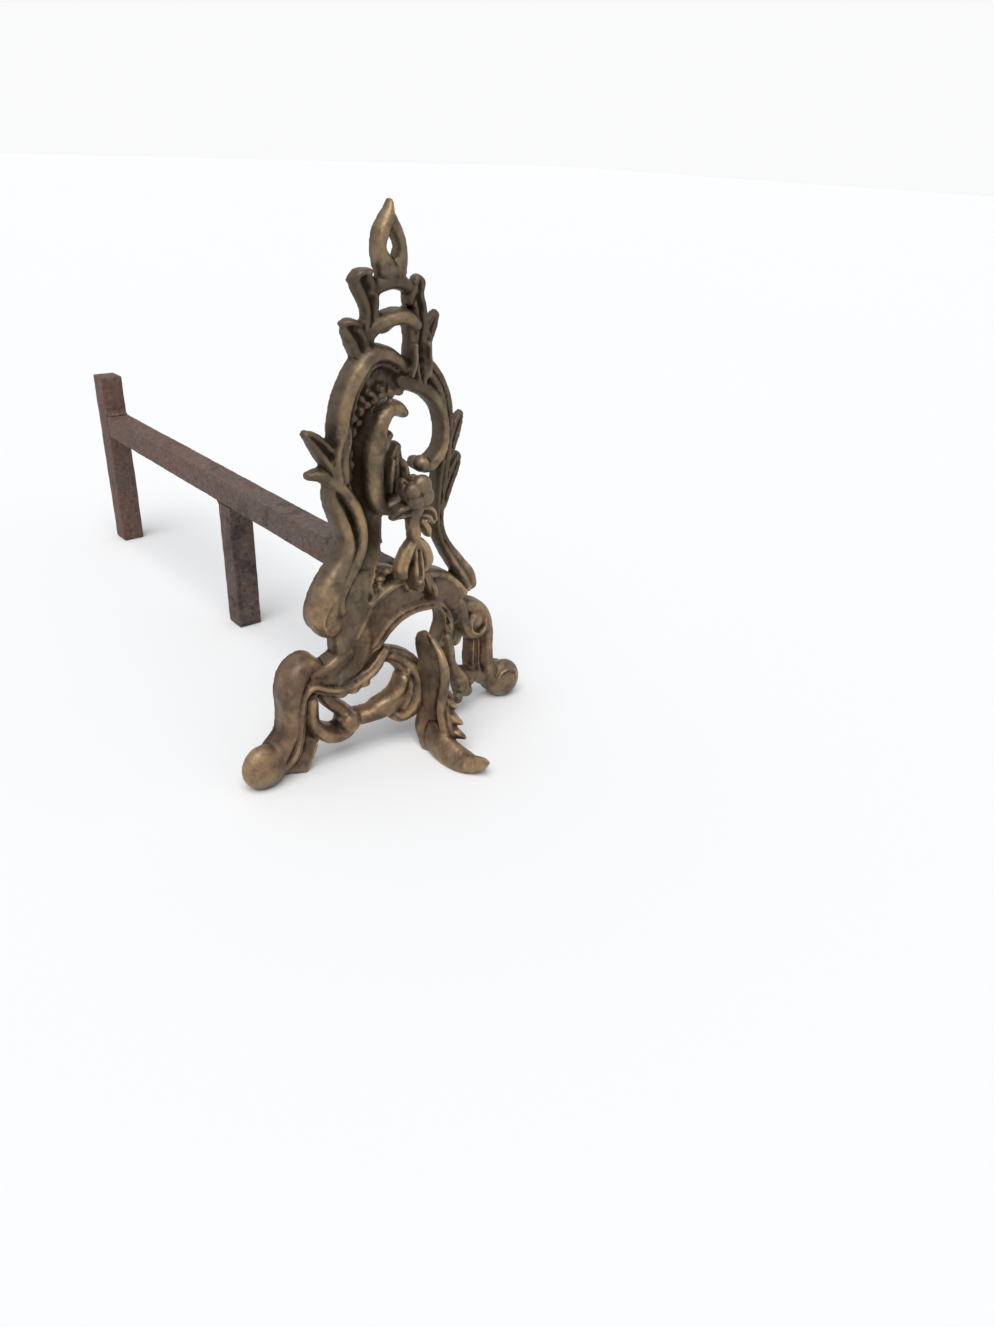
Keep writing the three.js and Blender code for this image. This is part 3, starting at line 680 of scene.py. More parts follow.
class Recipe:
    """A node material in the making."""

    def __init__(self, name: str) -> None:
        """Starts an empty material with object coordinates and a Principled shader.

        Args:
            name: The material's name.
        """
        self.material = bpy.data.materials.new(name)
        self.material.use_nodes = True
        self.tree = self.material.node_tree
        self.tree.nodes.clear()
        self.place = self.node("ShaderNodeTexCoord", {}, {}).outputs["Object"]
        self.shader = self.node("ShaderNodeBsdfPrincipled", {}, {})
        out = self.node("ShaderNodeOutputMaterial", {}, {})
        self.tree.links.new(self.shader.outputs[0], out.inputs["Surface"])

    def node(self, kind: str, settings: dict[str, Any], inputs: dict[Any, Any]) -> bpy.types.Node:
        """Adds one node.

        Args:
            kind: The node's type.
            settings: Its properties, set first.
            inputs: What its sockets get, by number, name or identifier: a Value, a
                socket, a number or a colour.

        Returns:
            The new node.
        """
        node = self.tree.nodes.new(kind)
        for key, value in settings.items():
            setattr(node, key, value)
        for key, value in inputs.items():
            if isinstance(key, int):
                socket = node.inputs[key]
            else:
                socket = next(
                    s for s in node.inputs if key == s.identifier or (key == s.name and s.enabled)
                )
            source = value.socket if isinstance(value, Value) else value
            if isinstance(source, bpy.types.NodeSocket):
                self.tree.links.new(source, socket)
            elif isinstance(source, tuple) and len(source) == 3 and len(socket.default_value) == 4:
                socket.default_value = (*source, 1.0)
            else:
                socket.default_value = source
        return node

    def noise(self, size: float, detail: float, rough: float, shift: float) -> Value:
        """Cloudy noise.

        Args:
            size: Size of its clouds in millimetres.
            detail: Octaves.
            rough: Weight of the finer octaves.
            shift: Moves the pattern along W, so that each noise differs.

        Returns:
            Its value, 0 to 1.
        """
        inputs = {
            "Vector": self.place,
            "W": shift,
            "Scale": 1 / (size * MM),
            "Detail": detail,
            "Roughness": rough,
        }
        node = self.node("ShaderNodeTexNoise", {"noise_dimensions": "4D"}, inputs)
        return Value(self, node.outputs[0])

    def pits(self, size: float) -> Value:
        """Distance to the nearest of scattered points, in cells of the given size in mm."""
        inputs = {"Vector": self.place, "Scale": 1 / (size * MM)}
        return Value(self, self.node("ShaderNodeTexVoronoi", {}, inputs).outputs["Distance"])

    def mark(self, name: str) -> Value:
        """A number kept with the piece's corners."""
        settings = {"attribute_type": "GEOMETRY", "attribute_name": name}
        return Value(self, self.node("ShaderNodeAttribute", settings, {}).outputs["Fac"])

    def height(self) -> Value:
        """Height above the hearth in millimetres."""
        parts = self.node("ShaderNodeSeparateXYZ", {}, {0: self.place})
        return Value(self, parts.outputs["Z"]) * (1 / MM)

    def back(self) -> Value:
        """Distance behind the casting's back in millimetres, along the bar."""
        parts = self.node("ShaderNodeSeparateXYZ", {}, {0: self.place})
        return (Value(self, parts.outputs["Y"]) - float(casting_origin()[1])) * (1 / MM)

    def mixed(self, share: Any, first: Any, second: Any) -> bpy.types.NodeSocket:
        """Mixes two colours.

        Args:
            share: Share of the second colour, 0 to 1.
            first: The colour where the share is 0.
            second: The colour where it is 1.

        Returns:
            The mixed colour.
        """
        inputs = {"Factor_Float": share, "A_Color": first, "B_Color": second}
        settings = {"data_type": "RGBA", "clamp_factor": True}
        node = self.node("ShaderNodeMix", settings, inputs)
        return next(s for s in node.outputs if s.identifier == "Result_Color")

    def near(self, spots: Sequence[Row]) -> Value:
        """How near the surface is to the middle of a spot, as the greatest over all spots.

        Args:
            spots: [x, distance in front, z, radius] in the maker's frame.

        Returns:
            0 outside every radius, 1 from a quarter of the radius inwards.
        """
        total: Any = 0.0
        for x, front, z, radius in spots:
            middle = tuple(float(v) for v in casting_origin() + np.array([x, -front, z]) * MM)
            inputs = {0: self.place, 1: middle}
            away = self.node("ShaderNodeVectorMath", {"operation": "DISTANCE"}, inputs)
            share = Value(self, away.outputs["Value"]).over(radius * MM, 0.25 * radius * MM)
            total = share.most(total)
        return total

    def finish(
        self, colour: Any, roughness: Any, metallic: Any, height: Value, depth: float
    ) -> bpy.types.Material:
        """Joins the results to the shader.

        Args:
            colour: Base colour.
            roughness: Roughness.
            metallic: Metallic.
            height: Relief, 0 to 1.
            depth: What a relief of 1 measures, in millimetres.

        Returns:
            The finished material.
        """
        inputs = {"Strength": 1.0, "Distance": depth * MM, "Height": height}
        bumped = self.node("ShaderNodeBump", {}, inputs).outputs[0]
        results = {
            "Base Color": colour,
            "Roughness": roughness,
            "Metallic": metallic,
            "Normal": bumped,
        }
        for key, value in results.items():
            if isinstance(value, (int, float)):
                self.shader.inputs[key].default_value = value
            else:
                source = value.socket if isinstance(value, Value) else value
                self.tree.links.new(source, self.shader.inputs[key])
        return self.material


Colour = tuple[float, float, float]
Spots = tuple[tuple[float, float, float, float], ...]


@dataclass(frozen=True)
class AgedBrass:
    """Cast brass gone brown, with dark patina and painted shade in the hollows, rubbed to gold on
    the high places.

    Colours are linear. Spots are [x, distance in front, z, radius], and steps are
    (from, to), all in millimetres in the maker's frame.
    """

    name: str = "aged_brass"
    brown: Colour = (0.150, 0.106, 0.070)
    umber: Colour = (0.066, 0.046, 0.034)
    olive: Colour = (0.165, 0.124, 0.076)
    russet: Colour = (0.178, 0.100, 0.060)
    gold: Colour = (0.350, 0.230, 0.115)
    # dark colour of soot and patina, also used as painted shade in creases and hollows
    soot_and_shade: Colour = (0.028, 0.019, 0.011)
    verdigris: Colour = (0.160, 0.190, 0.140)
    relief: bool = True
    # depth and heights of the painted shade in the sunk openwork
    sunk_shade_depth: tuple[float, float] = (-13.6, -9.8)
    sunk_shade_bottom: tuple[float, float] = (118, 138)
    sunk_shade_top: tuple[float, float] = (306, 296)
    rear_depth: tuple[float, float] = (-7, -1)
    russet_height: tuple[float, float] = (150, 30)
    rubbed_height: tuple[float, float] = (250, 130)
    verdigris_height: tuple[float, float] = (17, 1)
    rubbed_spots: Spots = (
        (-106, 14, 18, 19), (-54, 14, 106, 18), (-8, 12, 96, 17), (14, 14, 112, 17),
        (-12, 14, 207, 17), (3, 12, 226, 12), (2, 26, 30, 15), (-40, 16, 26, 12),
        (-20, 12, 246, 13), (5, 12, 277, 11), (-6, 10, 310, 10), (8, 22, 118, 12),
        (-84, 16, 46, 12), (13, 51, 58, 11), (34, 12, 106, 14), (-22, 12, 84, 12),
    )
    # spots darkened with soot and painted shade, mostly in coves and hollows
    soot_and_shade_spots: Spots = (
        (-14, 10, 291, 14), (-23, 10, 268, 12), (-36, 10, 74, 19), (-20, 8, 222, 20),
        (-21, 8, 190, 17), (21, 10, 287, 13), (22, 12, 254, 13), (10, 30, 50, 15), (11, 34, 80, 10),
        (40, 12, 78, 14), (-20, 10, 150, 16), (13, 40, 28, 15), (-40, 8, 212, 18),
        (-60, 12, 58, 13), (-90, 6, 30, 12),
    )

    def material(self) -> bpy.types.Material:
        """Builds the node material.

        Returns:
            The material. Without relief it reads no marks, for small CAD pieces.
        """
        r = Recipe(self.name)
        cloud = r.noise(38, 3.0, 0.5, 1.7)
        worn = r.noise(26, 4.0, 0.6, 6.2)
        mottle = r.noise(8, 5.0, 0.62, 4.1)
        grain = r.noise(1.6, 4.0, 0.6, 8.3)
        base = r.mixed(cloud.over(0.38, 0.66), self.brown, self.olive)
        warm = r.height().over(*self.russet_height) * cloud.over(0.62, 0.42) * 0.85
        base = r.mixed(warm, base, self.russet)
        base = r.mixed(mottle.over(0.60, 0.34) * 0.8, base, self.umber)
        if self.relief:
            edge = r.mark("edge")
            hollow = r.mark("hollow")
        else:
            edge = r.noise(5, 2.0, 0.5, 2.2)
            hollow = r.noise(7, 2.0, 0.5, 5.2)
        # painted shade on the sunk parts of the openwork, and darker on the back
        sunk = r.back().over(*self.sunk_shade_depth)
        sunk = sunk * r.height().over(*self.sunk_shade_bottom) * r.height().over(*self.sunk_shade_top)
        sunk = sunk.most(r.back().over(*self.rear_depth))
        reach = 0.45 + 0.55 * r.height().over(*self.rubbed_height)
        hand = r.near(self.rubbed_spots)
        soot_and_shade = r.near(self.soot_and_shade_spots)
        # gold where the brass is rubbed: proud forms, sharp edges and where hands touch it
        proud = hollow.over(0.48, 0.80) * worn.over(0.46, 0.60) * reach * (1 - 0.8 * soot_and_shade)
        touched = hand * hollow.over(0.34, 0.62) * mottle.over(0.36, 0.62)
        rubbed = edge.over(0.54, 1.0) * 0.45 * worn.over(0.38, 0.6)
        rubbed = rubbed + proud * (0.3 + 0.6 * mottle)
        rubbed = rubbed * (1 - 0.9 * sunk) * (1 - 0.4 * hand) + 0.42 * touched
        base = r.mixed(rubbed, base, self.gold)
        # soot, dark patina and painted shade in sharp corners, broad hollows and spots
        dark = edge.over(0.45, 0.08) * 0.7 + hollow.over(0.42, 0.06) * 0.7
        dark = dark + 0.45 * sunk * (1 - hand)
        dark = dark * (1 - 0.5 * hand) + 0.5 * soot_and_shade * edge.over(0.80, 0.50)
        base = r.mixed((dark * (0.65 + 0.7 * mottle)).over(0.0, 1.15), base, self.soot_and_shade)
        low = r.height().over(*self.verdigris_height) * mottle.over(0.46, 0.62)
        base = r.mixed(low * 0.5, base, self.verdigris)
        rough = 0.33 + 0.22 * mottle - 0.1 * rubbed + 0.16 * dark + 0.2 * low
        metallic = 0.62 + 0.22 * dark - 0.45 * low
        relief = grain * 0.5 + mottle * 0.5
        return r.finish(base, rough, metallic, relief, 0.35)


@dataclass(frozen=True)
class RustyIron:
    """Square iron from the fire: brown-red rust over mauve-grey scale, scorched, with dust, and
    painted shade low on the short leg under the bar.

    Colours are linear. Steps are (from, to) in millimetres in the maker's frame.
    """

    name: str = "rusty_iron"
    scale: Colour = (0.128, 0.092, 0.080)
    rust: Colour = (0.150, 0.082, 0.060)
    bloom: Colour = (0.235, 0.110, 0.066)
    # dark colour of pits, specks and scorch, also used as painted shade
    pit_and_shade: Colour = (0.026, 0.019, 0.017)
    pale: Colour = (0.300, 0.235, 0.200)
    rear_distance: tuple[float, float] = (110, 440)
    shade_height: tuple[float, float] = (112, 90)

    def material(self) -> bpy.types.Material:
        """Builds the node material.

        Returns:
            The material, redder towards the rear post and greyer towards the casting.
        """
        r = Recipe(self.name)
        cloud = r.noise(45, 4.0, 0.55, 0.6)
        patch = r.noise(14, 6.0, 0.62, 3.3)
        speck = r.noise(3.2, 6.0, 0.7, 6.6)
        crust = r.noise(0.9, 3.0, 0.6, 9.4)
        rear = r.back().over(*self.rear_distance)
        red = (cloud * 0.55 + patch * 0.45 + 0.14 * rear - 0.07).over(0.4, 0.6)
        base = r.mixed(red, self.scale, self.rust)
        base = r.mixed(patch.over(0.58, 0.7) * (0.2 + 0.6 * rear), base, self.bloom)
        base = r.mixed(speck.over(0.52, 0.68) * 0.5, base, self.pale)
        holes = r.pits(4.2).over(0.30, 0.06) * patch.over(0.4, 0.55)
        scorch_and_shade = r.noise(22, 5.0, 0.6, 7.7).over(0.52, 0.64) * (0.85 - 0.5 * rear)
        # painted shade: darker low down on the short leg under the bar
        scorch_and_shade = scorch_and_shade + 0.35 * r.height().over(*self.shade_height) * (1 - rear)
        dark = speck.over(0.5, 0.34) * 0.6 + holes * 0.5 + scorch_and_shade * 0.62
        base = r.mixed(dark, base, self.pit_and_shade)
        rough = 0.66 + 0.24 * speck
        relief = speck * 0.55 + crust * 0.25 + patch * 0.3 - holes * 0.35
        return r.finish(base, rough, 0.28 + 0.2 * cloud.over(0.6, 0.35), relief, 0.9)


@dataclass(frozen=True)
class OldSteel:
    """Dull dark steel of screws, bolts and washers, with rust in its corners."""

    name: str = "old_steel"
    steel: Colour = (0.085, 0.075, 0.068)
    rust: Colour = (0.150, 0.070, 0.042)
    shine: Colour = (0.20, 0.185, 0.17)

    def material(self) -> bpy.types.Material:
        """Builds the node material.

        Returns:
            The material.
        """
        r = Recipe(self.name)
        patch = r.noise(4, 4.0, 0.6, 2.1)
        fine = r.noise(0.8, 4.0, 0.6, 5.5)
        rusted = patch.over(0.45, 0.62)
        base = r.mixed(rusted, self.steel, self.rust)
        base = r.mixed(fine.over(0.55, 0.7) * 0.5, base, self.shine)
        return r.finish(base, 0.45 + 0.35 * patch, 0.85 - 0.5 * rusted, fine, 0.15)


# ---------------------------------------------------------------- front casting

ROLL, BEADED, CROWN, LEAF, FLUTED, WEB, COVE, FASCIA, CHANNEL, CUPPED, SWELL = Moulding

# A section and the rows of its member: [x, z, half width, depth, back]. See cast_member.
Member = tuple[Moulding, list[Row]]

CREST: list[Member] = [
    (CUPPED, [[-25, 271.5, 5.4, 8], [-22, 267.5, 7.2, 10], [-19.4, 260, 6.2, 11.5],
              [-16, 252, 4.5, 12]]),
    (ROLL, [[-30, 275.6, 1.4, 6], [-25.5, 276.6, 2, 8.5], [-19.5, 275, 1.8, 8]]),
    (CUPPED, [[-16, 260, 3.6, 10], [-13.5, 271, 4.2, 10], [-11.8, 281, 4.8, 10],
              [-13.2, 289, 6.4, 10.5], [-15.8, 295.5, 7.2, 10]]),
    (ROLL, [[-23, 298, 1.8, 7], [-19, 301.6, 2.2, 9.5], [-12, 302.4, 1.8, 8.5]]),
    (CUPPED, [[35.4, 276, 3, 6], [31.5, 272, 5, 8], [27, 265, 5, 10], [24, 257, 4, 11]]),
    (CUPPED, [[22, 238, 3, 13], [20, 249, 4.8, 14], [20, 260, 5.2, 12], [21.5, 270, 5, 11.5],
              [21, 281, 5, 11], [19.5, 288.5, 5, 10.5], [22, 295, 4.4, 9]]),
    (ROLL, [[26, 268, 1.2, 10], [27.5, 263, 2.2, 10], [26.5, 257, 2, 10]]),
    (ROLL, [[13.5, 284, 1.4, 9], [14.5, 289, 2.2, 10.5], [17.5, 292.5, 1.8, 10]]),
    (ROLL, [[-14.5, 267, 3, 9], [-8.5, 273.5, 4.6, 11], [1.5, 277, 4.8, 13], [10.5, 277, 4.8, 13],
            [17.5, 272, 4, 12]]),
    (ROLL, [[-9, 272.5, 3, 8], [-3, 271, 2.6, 8], [1.5, 272, 1.6, 7]]),
    (ROLL, [[12.5, 276, 2.5, 9], [15.5, 266, 3, 9], [15.5, 253, 4, 10]]),
    (ROLL, [[-11.5, 292, 4, 9], [-0.5, 296, 4.5, 9.5], [10.5, 295, 4.2, 9.5], [17.5, 290, 3, 9]]),
    (ROLL, [[-4.5, 301.5, 2.4, 9.5], [2.5, 302.4, 2.6, 10.8], [9.5, 301.2, 2.4, 10]]),
    (ROLL, [[2, 299, 6, 9.5], [-2.5, 306, 5.8, 10.5], [-5.6, 314.5, 3.6, 10.5],
            [-3.6, 322, 4.2, 10], [0.4, 328.5, 4, 9], [3, 334, 2.6, 7], [4, 337.2, 1.5, 5.5]]),
    (ROLL, [[5.5, 299, 6, 9.5], [8.4, 306.5, 5, 9.5], [9.2, 314.5, 3.1, 9.5], [6.8, 322, 3.6, 9],
            [4, 328.5, 3, 8]]),
]

CROWN_AND_SIDES: list[Member] = [
    (CROWN, [[10, 247, 4, 10], [3, 253, 5.5, 12], [-6, 257, 6.3, 13], [-15, 256, 6.8, 14],
             [-22, 249.5, 7, 14], [-28.5, 240, 7, 14], [-33, 229, 7, 14], [-35.3, 216, 7, 14],
             [-35.5, 203, 6.5, 14], [-34, 190, 5, 13]]),
    (CUPPED, [[-56.4, 217.6, 2.4, 7.5], [-52, 214, 4.6, 10], [-46, 206, 6, 14], [-40, 197, 6, 15],
              [-36, 186, 5, 14], [-32, 174, 4, 13]]),
    (CUPPED, [[-33, 220, 2.6, 15.5], [-35.5, 213, 5.4, 16.6], [-38.5, 202, 5.4, 17],
              [-37.5, 190, 3.4, 16]]),
    (ROLL, [[-55.4, 193.2, 2.6, 7], [-49, 193, 4.2, 10.5], [-41, 188, 4.5, 13], [-34, 179, 4.5, 15],
            [-28, 168, 4.5, 15], [-25.5, 157, 4.5, 15], [-26, 146, 4.5, 15], [-31, 135, 5, 15],
            [-38, 125, 5, 15], [-43, 115, 4.5, 15], [-42, 106, 3.5, 14]]),
    (ROLL, [[-44.5, 187, 2.2, 10], [-43, 178, 4.2, 11.5], [-39.6, 168, 5, 12.5], [-36, 158, 5, 13],
            [-34.5, 148, 5.5, 14], [-38, 138, 6.2, 14], [-44.5, 128, 8, 15], [-50, 117, 10, 16],
            [-52.5, 106, 11, 16], [-49.5, 98, 9.5, 15]]),
    (COVE, [[15, 241, 5, 9], [4, 244, 8, 9], [-7, 244, 10, 9], [-17, 238, 10, 9], [-23, 228, 9, 9],
            [-26, 215, 8, 9], [-26, 200, 8, 9], [-24, 186, 8, 9.5], [-21, 172, 9, 11],
            [-19, 158, 9, 12], [-20, 145, 9, 12], [-23, 133, 9, 12], [-27, 121, 10, 12],
            [-30, 110, 11, 12]]),
    (SWELL, [[-27, 122, 10, 11], [-32, 108, 13, 12.5], [-34, 94, 14, 13], [-33, 81, 14.5, 13.5],
             [-36, 70, 13, 14], [-46, 63, 9, 14]]),
    (ROLL, [[9, 222.5, 3.5, 11], [4, 226, 4.5, 13], [-3, 225.5, 5, 14], [-9, 220, 6, 15],
            [-12.5, 211, 6.5, 16], [-14.5, 200, 7, 16], [-15.5, 188, 7, 16], [-14.5, 177, 6.5, 15],
            [-10, 168, 5.5, 13], [-2, 164, 4.5, 12]]),
    (ROLL, [[-1, 210, 3, 9], [-6, 206, 4, 12], [-12, 199, 5, 13]]),
    (ROLL, [[-6, 166, 4.5, 13], [1, 168, 5, 15], [8, 172, 5.5, 16]]),
    (FLUTED, [[2, 174, 5, 11], [2, 184, 7.6, 12], [2, 194, 6.4, 12], [5, 202, 3, 9]]),
    (ROLL, [[-3, 176, 2, 12], [-4, 187, 2.6, 15], [-1.5, 196, 2, 13]]),
    (ROLL, [[6, 176, 2, 12], [7.5, 186, 2.4, 15], [8, 193, 1.6, 12]]),
    (CHANNEL, [[17, 254, 4.5, 11], [27, 247, 5.5, 12], [35, 237, 5.5, 12], [39.5, 226, 5.5, 12],
               [41, 213, 5.5, 12], [40.3, 200, 5.5, 12], [39, 187, 5, 12], [37.5, 173, 4.5, 11],
               [36.5, 160, 4.3, 11], [36.3, 147, 4.2, 11], [39.5, 136, 4.3, 11], [46, 125, 5, 12],
               [54, 114, 6, 12], [61.5, 103, 7, 12], [63.5, 97, 6.5, 12]]),
    (ROLL, [[9, 241, 5.4, 9], [17, 239, 5.6, 9.5], [25.5, 234.5, 5, 10.5], [33, 227, 4.2, 12],
            [37.3, 217, 3.6, 12.8], [38.6, 206, 3.5, 13], [36.8, 196.5, 3.9, 13],
            [31.5, 190, 4.4, 13.2], [25, 187.5, 4.8, 14], [19.5, 189.5, 4, 14]]),
    (CUPPED, [[56, 216, 1.4, 7], [52, 211, 4, 9], [47, 203, 4.5, 12], [43, 192, 4, 12]]),
    (CUPPED, [[54, 189, 2, 8], [49, 181, 4.5, 10], [43, 170, 4.5, 11], [39, 158, 3.5, 11]]),
    (WEB, [[-16, 124, 5, 9], [-6, 120.5, 6.5, 9], [5, 117, 5, 9]]),
]

BASE: list[Member] = [
    (FASCIA, [[-22, 81, 11, 14], [-12, 93, 13, 14], [-1, 100, 13.5, 14], [11, 102.5, 13, 14],
              [24, 102, 12.5, 14], [36, 98, 11, 14], [45, 89, 9, 13], [50, 78, 7.5, 13],
              [51, 67, 6.5, 12], [49, 57, 5, 12]]),
    (ROLL, [[-21, 105, 3, 15], [-8, 113, 3.2, 16], [7, 116.5, 3.2, 16], [23, 116, 3.2, 16],
            [39, 110.5, 3.2, 15], [50, 101.5, 3.6, 14], [57, 93, 4.2, 13]]),
    (BEADED, [[-9, 68, 4, 14], [-18, 58, 5, 15], [-30, 53, 5.5, 15], [-44, 52, 5.5, 16],
              [-56, 56, 5.5, 16], [-66, 61, 5.5, 16], [-73, 56, 5.5, 16], [-76, 44, 5.5, 16],
              [-78, 30, 6, 16], [-83, 16, 7, 16], [-91, 7, 6, 14]]),
    (SWELL, [[-66, 66, 6.5, 14], [-56, 65, 8, 14], [-45, 67, 10, 14], [-36, 72, 10, 14]]),
    (ROLL, [[-60, 73, 3.5, 12], [-68, 76, 7, 16], [-76, 71, 8.5, 18], [-80.5, 60, 7.5, 18],
            [-81.5, 46, 6, 17], [-84, 32, 6, 17], [-92, 20, 8, 17], [-99, 12, 10, 17]]),
    (COVE, [[-70, 50, 8, 12], [-69, 35, 8, 12], [-73, 20, 9, 14], [-82, 7, 11, 15]]),
    (ROLL, [[-65.5, 48, 4.5, 13], [-66.5, 36, 4.5, 14], [-61, 25, 5.5, 15], [-51, 18, 6, 16],
            [-41, 19, 6, 16], [-37, 27, 4.5, 15]]),
    (ROLL, [[-57, 54, 4.5, 11], [-52, 44, 4.8, 11], [-46, 37, 5, 12], [-39, 30, 5, 13]]),
    (ROLL, [[-41, 25.5, 5.2, 13, 1], [-31, 25.5, 5.8, 13, 4], [-21, 27.5, 6.2, 13, 8],
            [-11, 31, 6.8, 13, 11], [-3, 36, 7, 13, 12]]),
    (ROLL, [[-20, 31.5, 4, 12, 8], [-11, 36, 4.4, 12.5, 10.5], [-5, 42.5, 4.2, 13, 12],
            [-2, 50, 3.4, 13, 12]]),
    (BEADED, [[-10, 65, 5, 12, 1], [-2, 62.5, 6.4, 13, 5], [4.5, 56.5, 8, 14, 10],
              [7.4, 48, 8.4, 15, 13], [6.8, 38.5, 8.8, 15.4, 14], [2.6, 28.5, 8.8, 15.4, 14],
              [-5, 23, 6.6, 14.4, 12], [-10.5, 27, 4.4, 13, 10]]),
    (ROLL, [[41, 64, 4, 12, 4], [41, 56, 4.5, 12, 7], [41, 46, 4.5, 12, 9], [46, 36, 5.5, 12, 9],
            [53, 26, 6.5, 12, 8], [54, 18, 5, 11, 8]]),
    (WEB, [[22, 38, 14, 10, 12], [32, 38, 12, 10, 11], [42, 38, 8, 10, 8]]),
    (ROLL, [[50, 33, 4, 10, 6], [63, 27, 4.5, 11, 3], [78, 20, 6, 12]]),
    (ROLL, [[56, 82, 5, 13], [57, 72, 6, 14], [62, 62, 6, 15], [70, 59, 5.5, 15], [76, 64, 5, 14],
            [73, 70, 4, 13]]),
    (FLUTED, [[70.5, 58, 5.5, 12], [71, 45, 6.6, 12.5], [71.5, 32, 6.8, 12.5], [76, 22, 7, 12],
              [84, 14, 6, 12]]),
    (ROLL, [[58, 81, 4, 11], [65, 79, 6.5, 13], [74, 72, 7, 14], [79, 60, 6, 14], [80, 46, 5.5, 14],
            [81, 32, 6, 14], [85, 19, 8, 15], [92, 11, 10, 15]]),
]

# Thin trims that lie on the bands: fillets, curls, the keystone bead and rib ends
TRIMS: list[Member] = [
    (ROLL, [[22, 114.5, 2.8, 18.4], [25.3, 107.5, 3.8, 19.6], [28, 100.5, 2.8, 18]]),
    (ROLL, [[-54, 95, 1.5, 15], [-57.5, 103, 1.8, 16.6], [-54.5, 112, 1.8, 16.8],
            [-48, 119, 1.5, 16.4]]),
    (ROLL, [[65, 74.5, 1.2, 15.5], [60.8, 70, 1.4, 16.5], [61.5, 63.5, 1.5, 17],
            [67.5, 60.5, 1.5, 17], [73.6, 63.6, 1.4, 16.5], [74, 69.5, 1.2, 15.5]]),
    (ROLL, [[86, 16, 1.4, 17.5], [88, 21.5, 1.6, 19], [94, 24, 1.6, 20], [100.5, 21, 1.6, 20],
            [102.5, 14, 1.4, 20], [98.5, 9.5, 1.2, 20]]),
    (ROLL, [[12, 244, 1.3, 14], [14, 252, 1.6, 15], [15, 262, 1.6, 13.5]]),
    (ROLL, [[25, 243, 1.3, 14], [25, 252, 1.6, 14.5], [25.5, 262, 1.4, 13]]),
    (ROLL, [[34, 60, 1.6, 12], [37, 68, 1.7, 13], [39, 76, 1.6, 14], [37, 84, 1.5, 14],
            [32, 89, 1.3, 14]]),
]

# Shell-like lumps of the rocaille: [x, distance in front, z, rx, ry, rz]
LUMPS: list[Row] = [
    [-31, 6.6, 219, 2.4, 3.6, 4.4], [-27, 7.2, 224, 3.0, 3.6, 2.6],
    [-22, 6.8, 227.5, 2.4, 3.8, 3.4], [-17.5, 7.0, 230.5, 3.0, 3.6, 2.4],
    [-12, 6.8, 233, 2.2, 3.8, 3.4], [-6.5, 6.8, 234.5, 3.4, 3.4, 2.2],
    [-0.5, 6.8, 235.2, 2.6, 3.4, 3.2], [5.5, 6.8, 235, 3.2, 3.2, 2.2],
    [-31.5, 7.0, 211, 2.2, 3.8, 3.4], [-30.5, 6.8, 204, 2.8, 3.6, 3.4],
    [-27, 7.0, 216, 2.0, 3.2, 3.4], [-23.4, 6.8, 221, 2.6, 3.2, 2.2],
    [-14.6, 6.8, 236.5, 2.6, 3.0, 1.8], [-7, 6.8, 238.8, 3.0, 3.0, 1.8],
    [-26, 6.8, 230.5, 2.4, 2.8, 2.2], [-20.5, 6.8, 234, 2.0, 2.8, 2.2],
    [-29.5, 6.8, 197, 2.4, 3.2, 2.8], [-31, 6.8, 190, 2.2, 3.4, 3.2], [-22, 8, 117, 3.4, 3.0, 2.2],
    [-16, 7.4, 123, 3.6, 2.8, 2.2], [-10, 7.8, 119.5, 3.4, 3.0, 2.0], [-4, 7.4, 123, 3.4, 2.8, 2.0],
    [2, 7.8, 120.5, 3.0, 2.8, 2.0], [-24.5, 8.2, 111.5, 2.8, 3.4, 2.6],
    [-18.5, 8.4, 113.5, 2.4, 3.4, 1.8], [-12, 8.6, 115, 2.6, 3.2, 1.6], [36, 11, 60, 3.2, 3.0, 3.4],
    [40, 12, 71, 2.6, 3.0, 3.2], [58, 14, 17, 4.6, 5.0, 5.0], [64, 10, 22, 4.0, 4.6, 4.4],
    [49, 15, 14, 4.0, 4.4, 4.6], [50, 16, 24, 3.6, 4.2, 4.0], [-45, 12, 48.5, 5.0, 3.4, 2.6],
    [-36, 12, 48.5, 5.0, 3.4, 2.6], [-27.5, 12, 50.5, 4.4, 3.4, 2.6],
    [66.5, 11, 69, 7.4, 4.8, 7.4],
]

# Rounded bosses: [x, distance in front, z, rx, ry, rz]
BOSSES: list[Row] = [
    [-102.3, 9.5, 13.6, 14.9, 10, 15.5], [95.9, 10, 13, 14.2, 10.5, 14.7],
    [-40, 12.5, 26, 7.4, 7.5, 7.4], [19, 10.5, 190.5, 5.2, 6, 5.2],
]


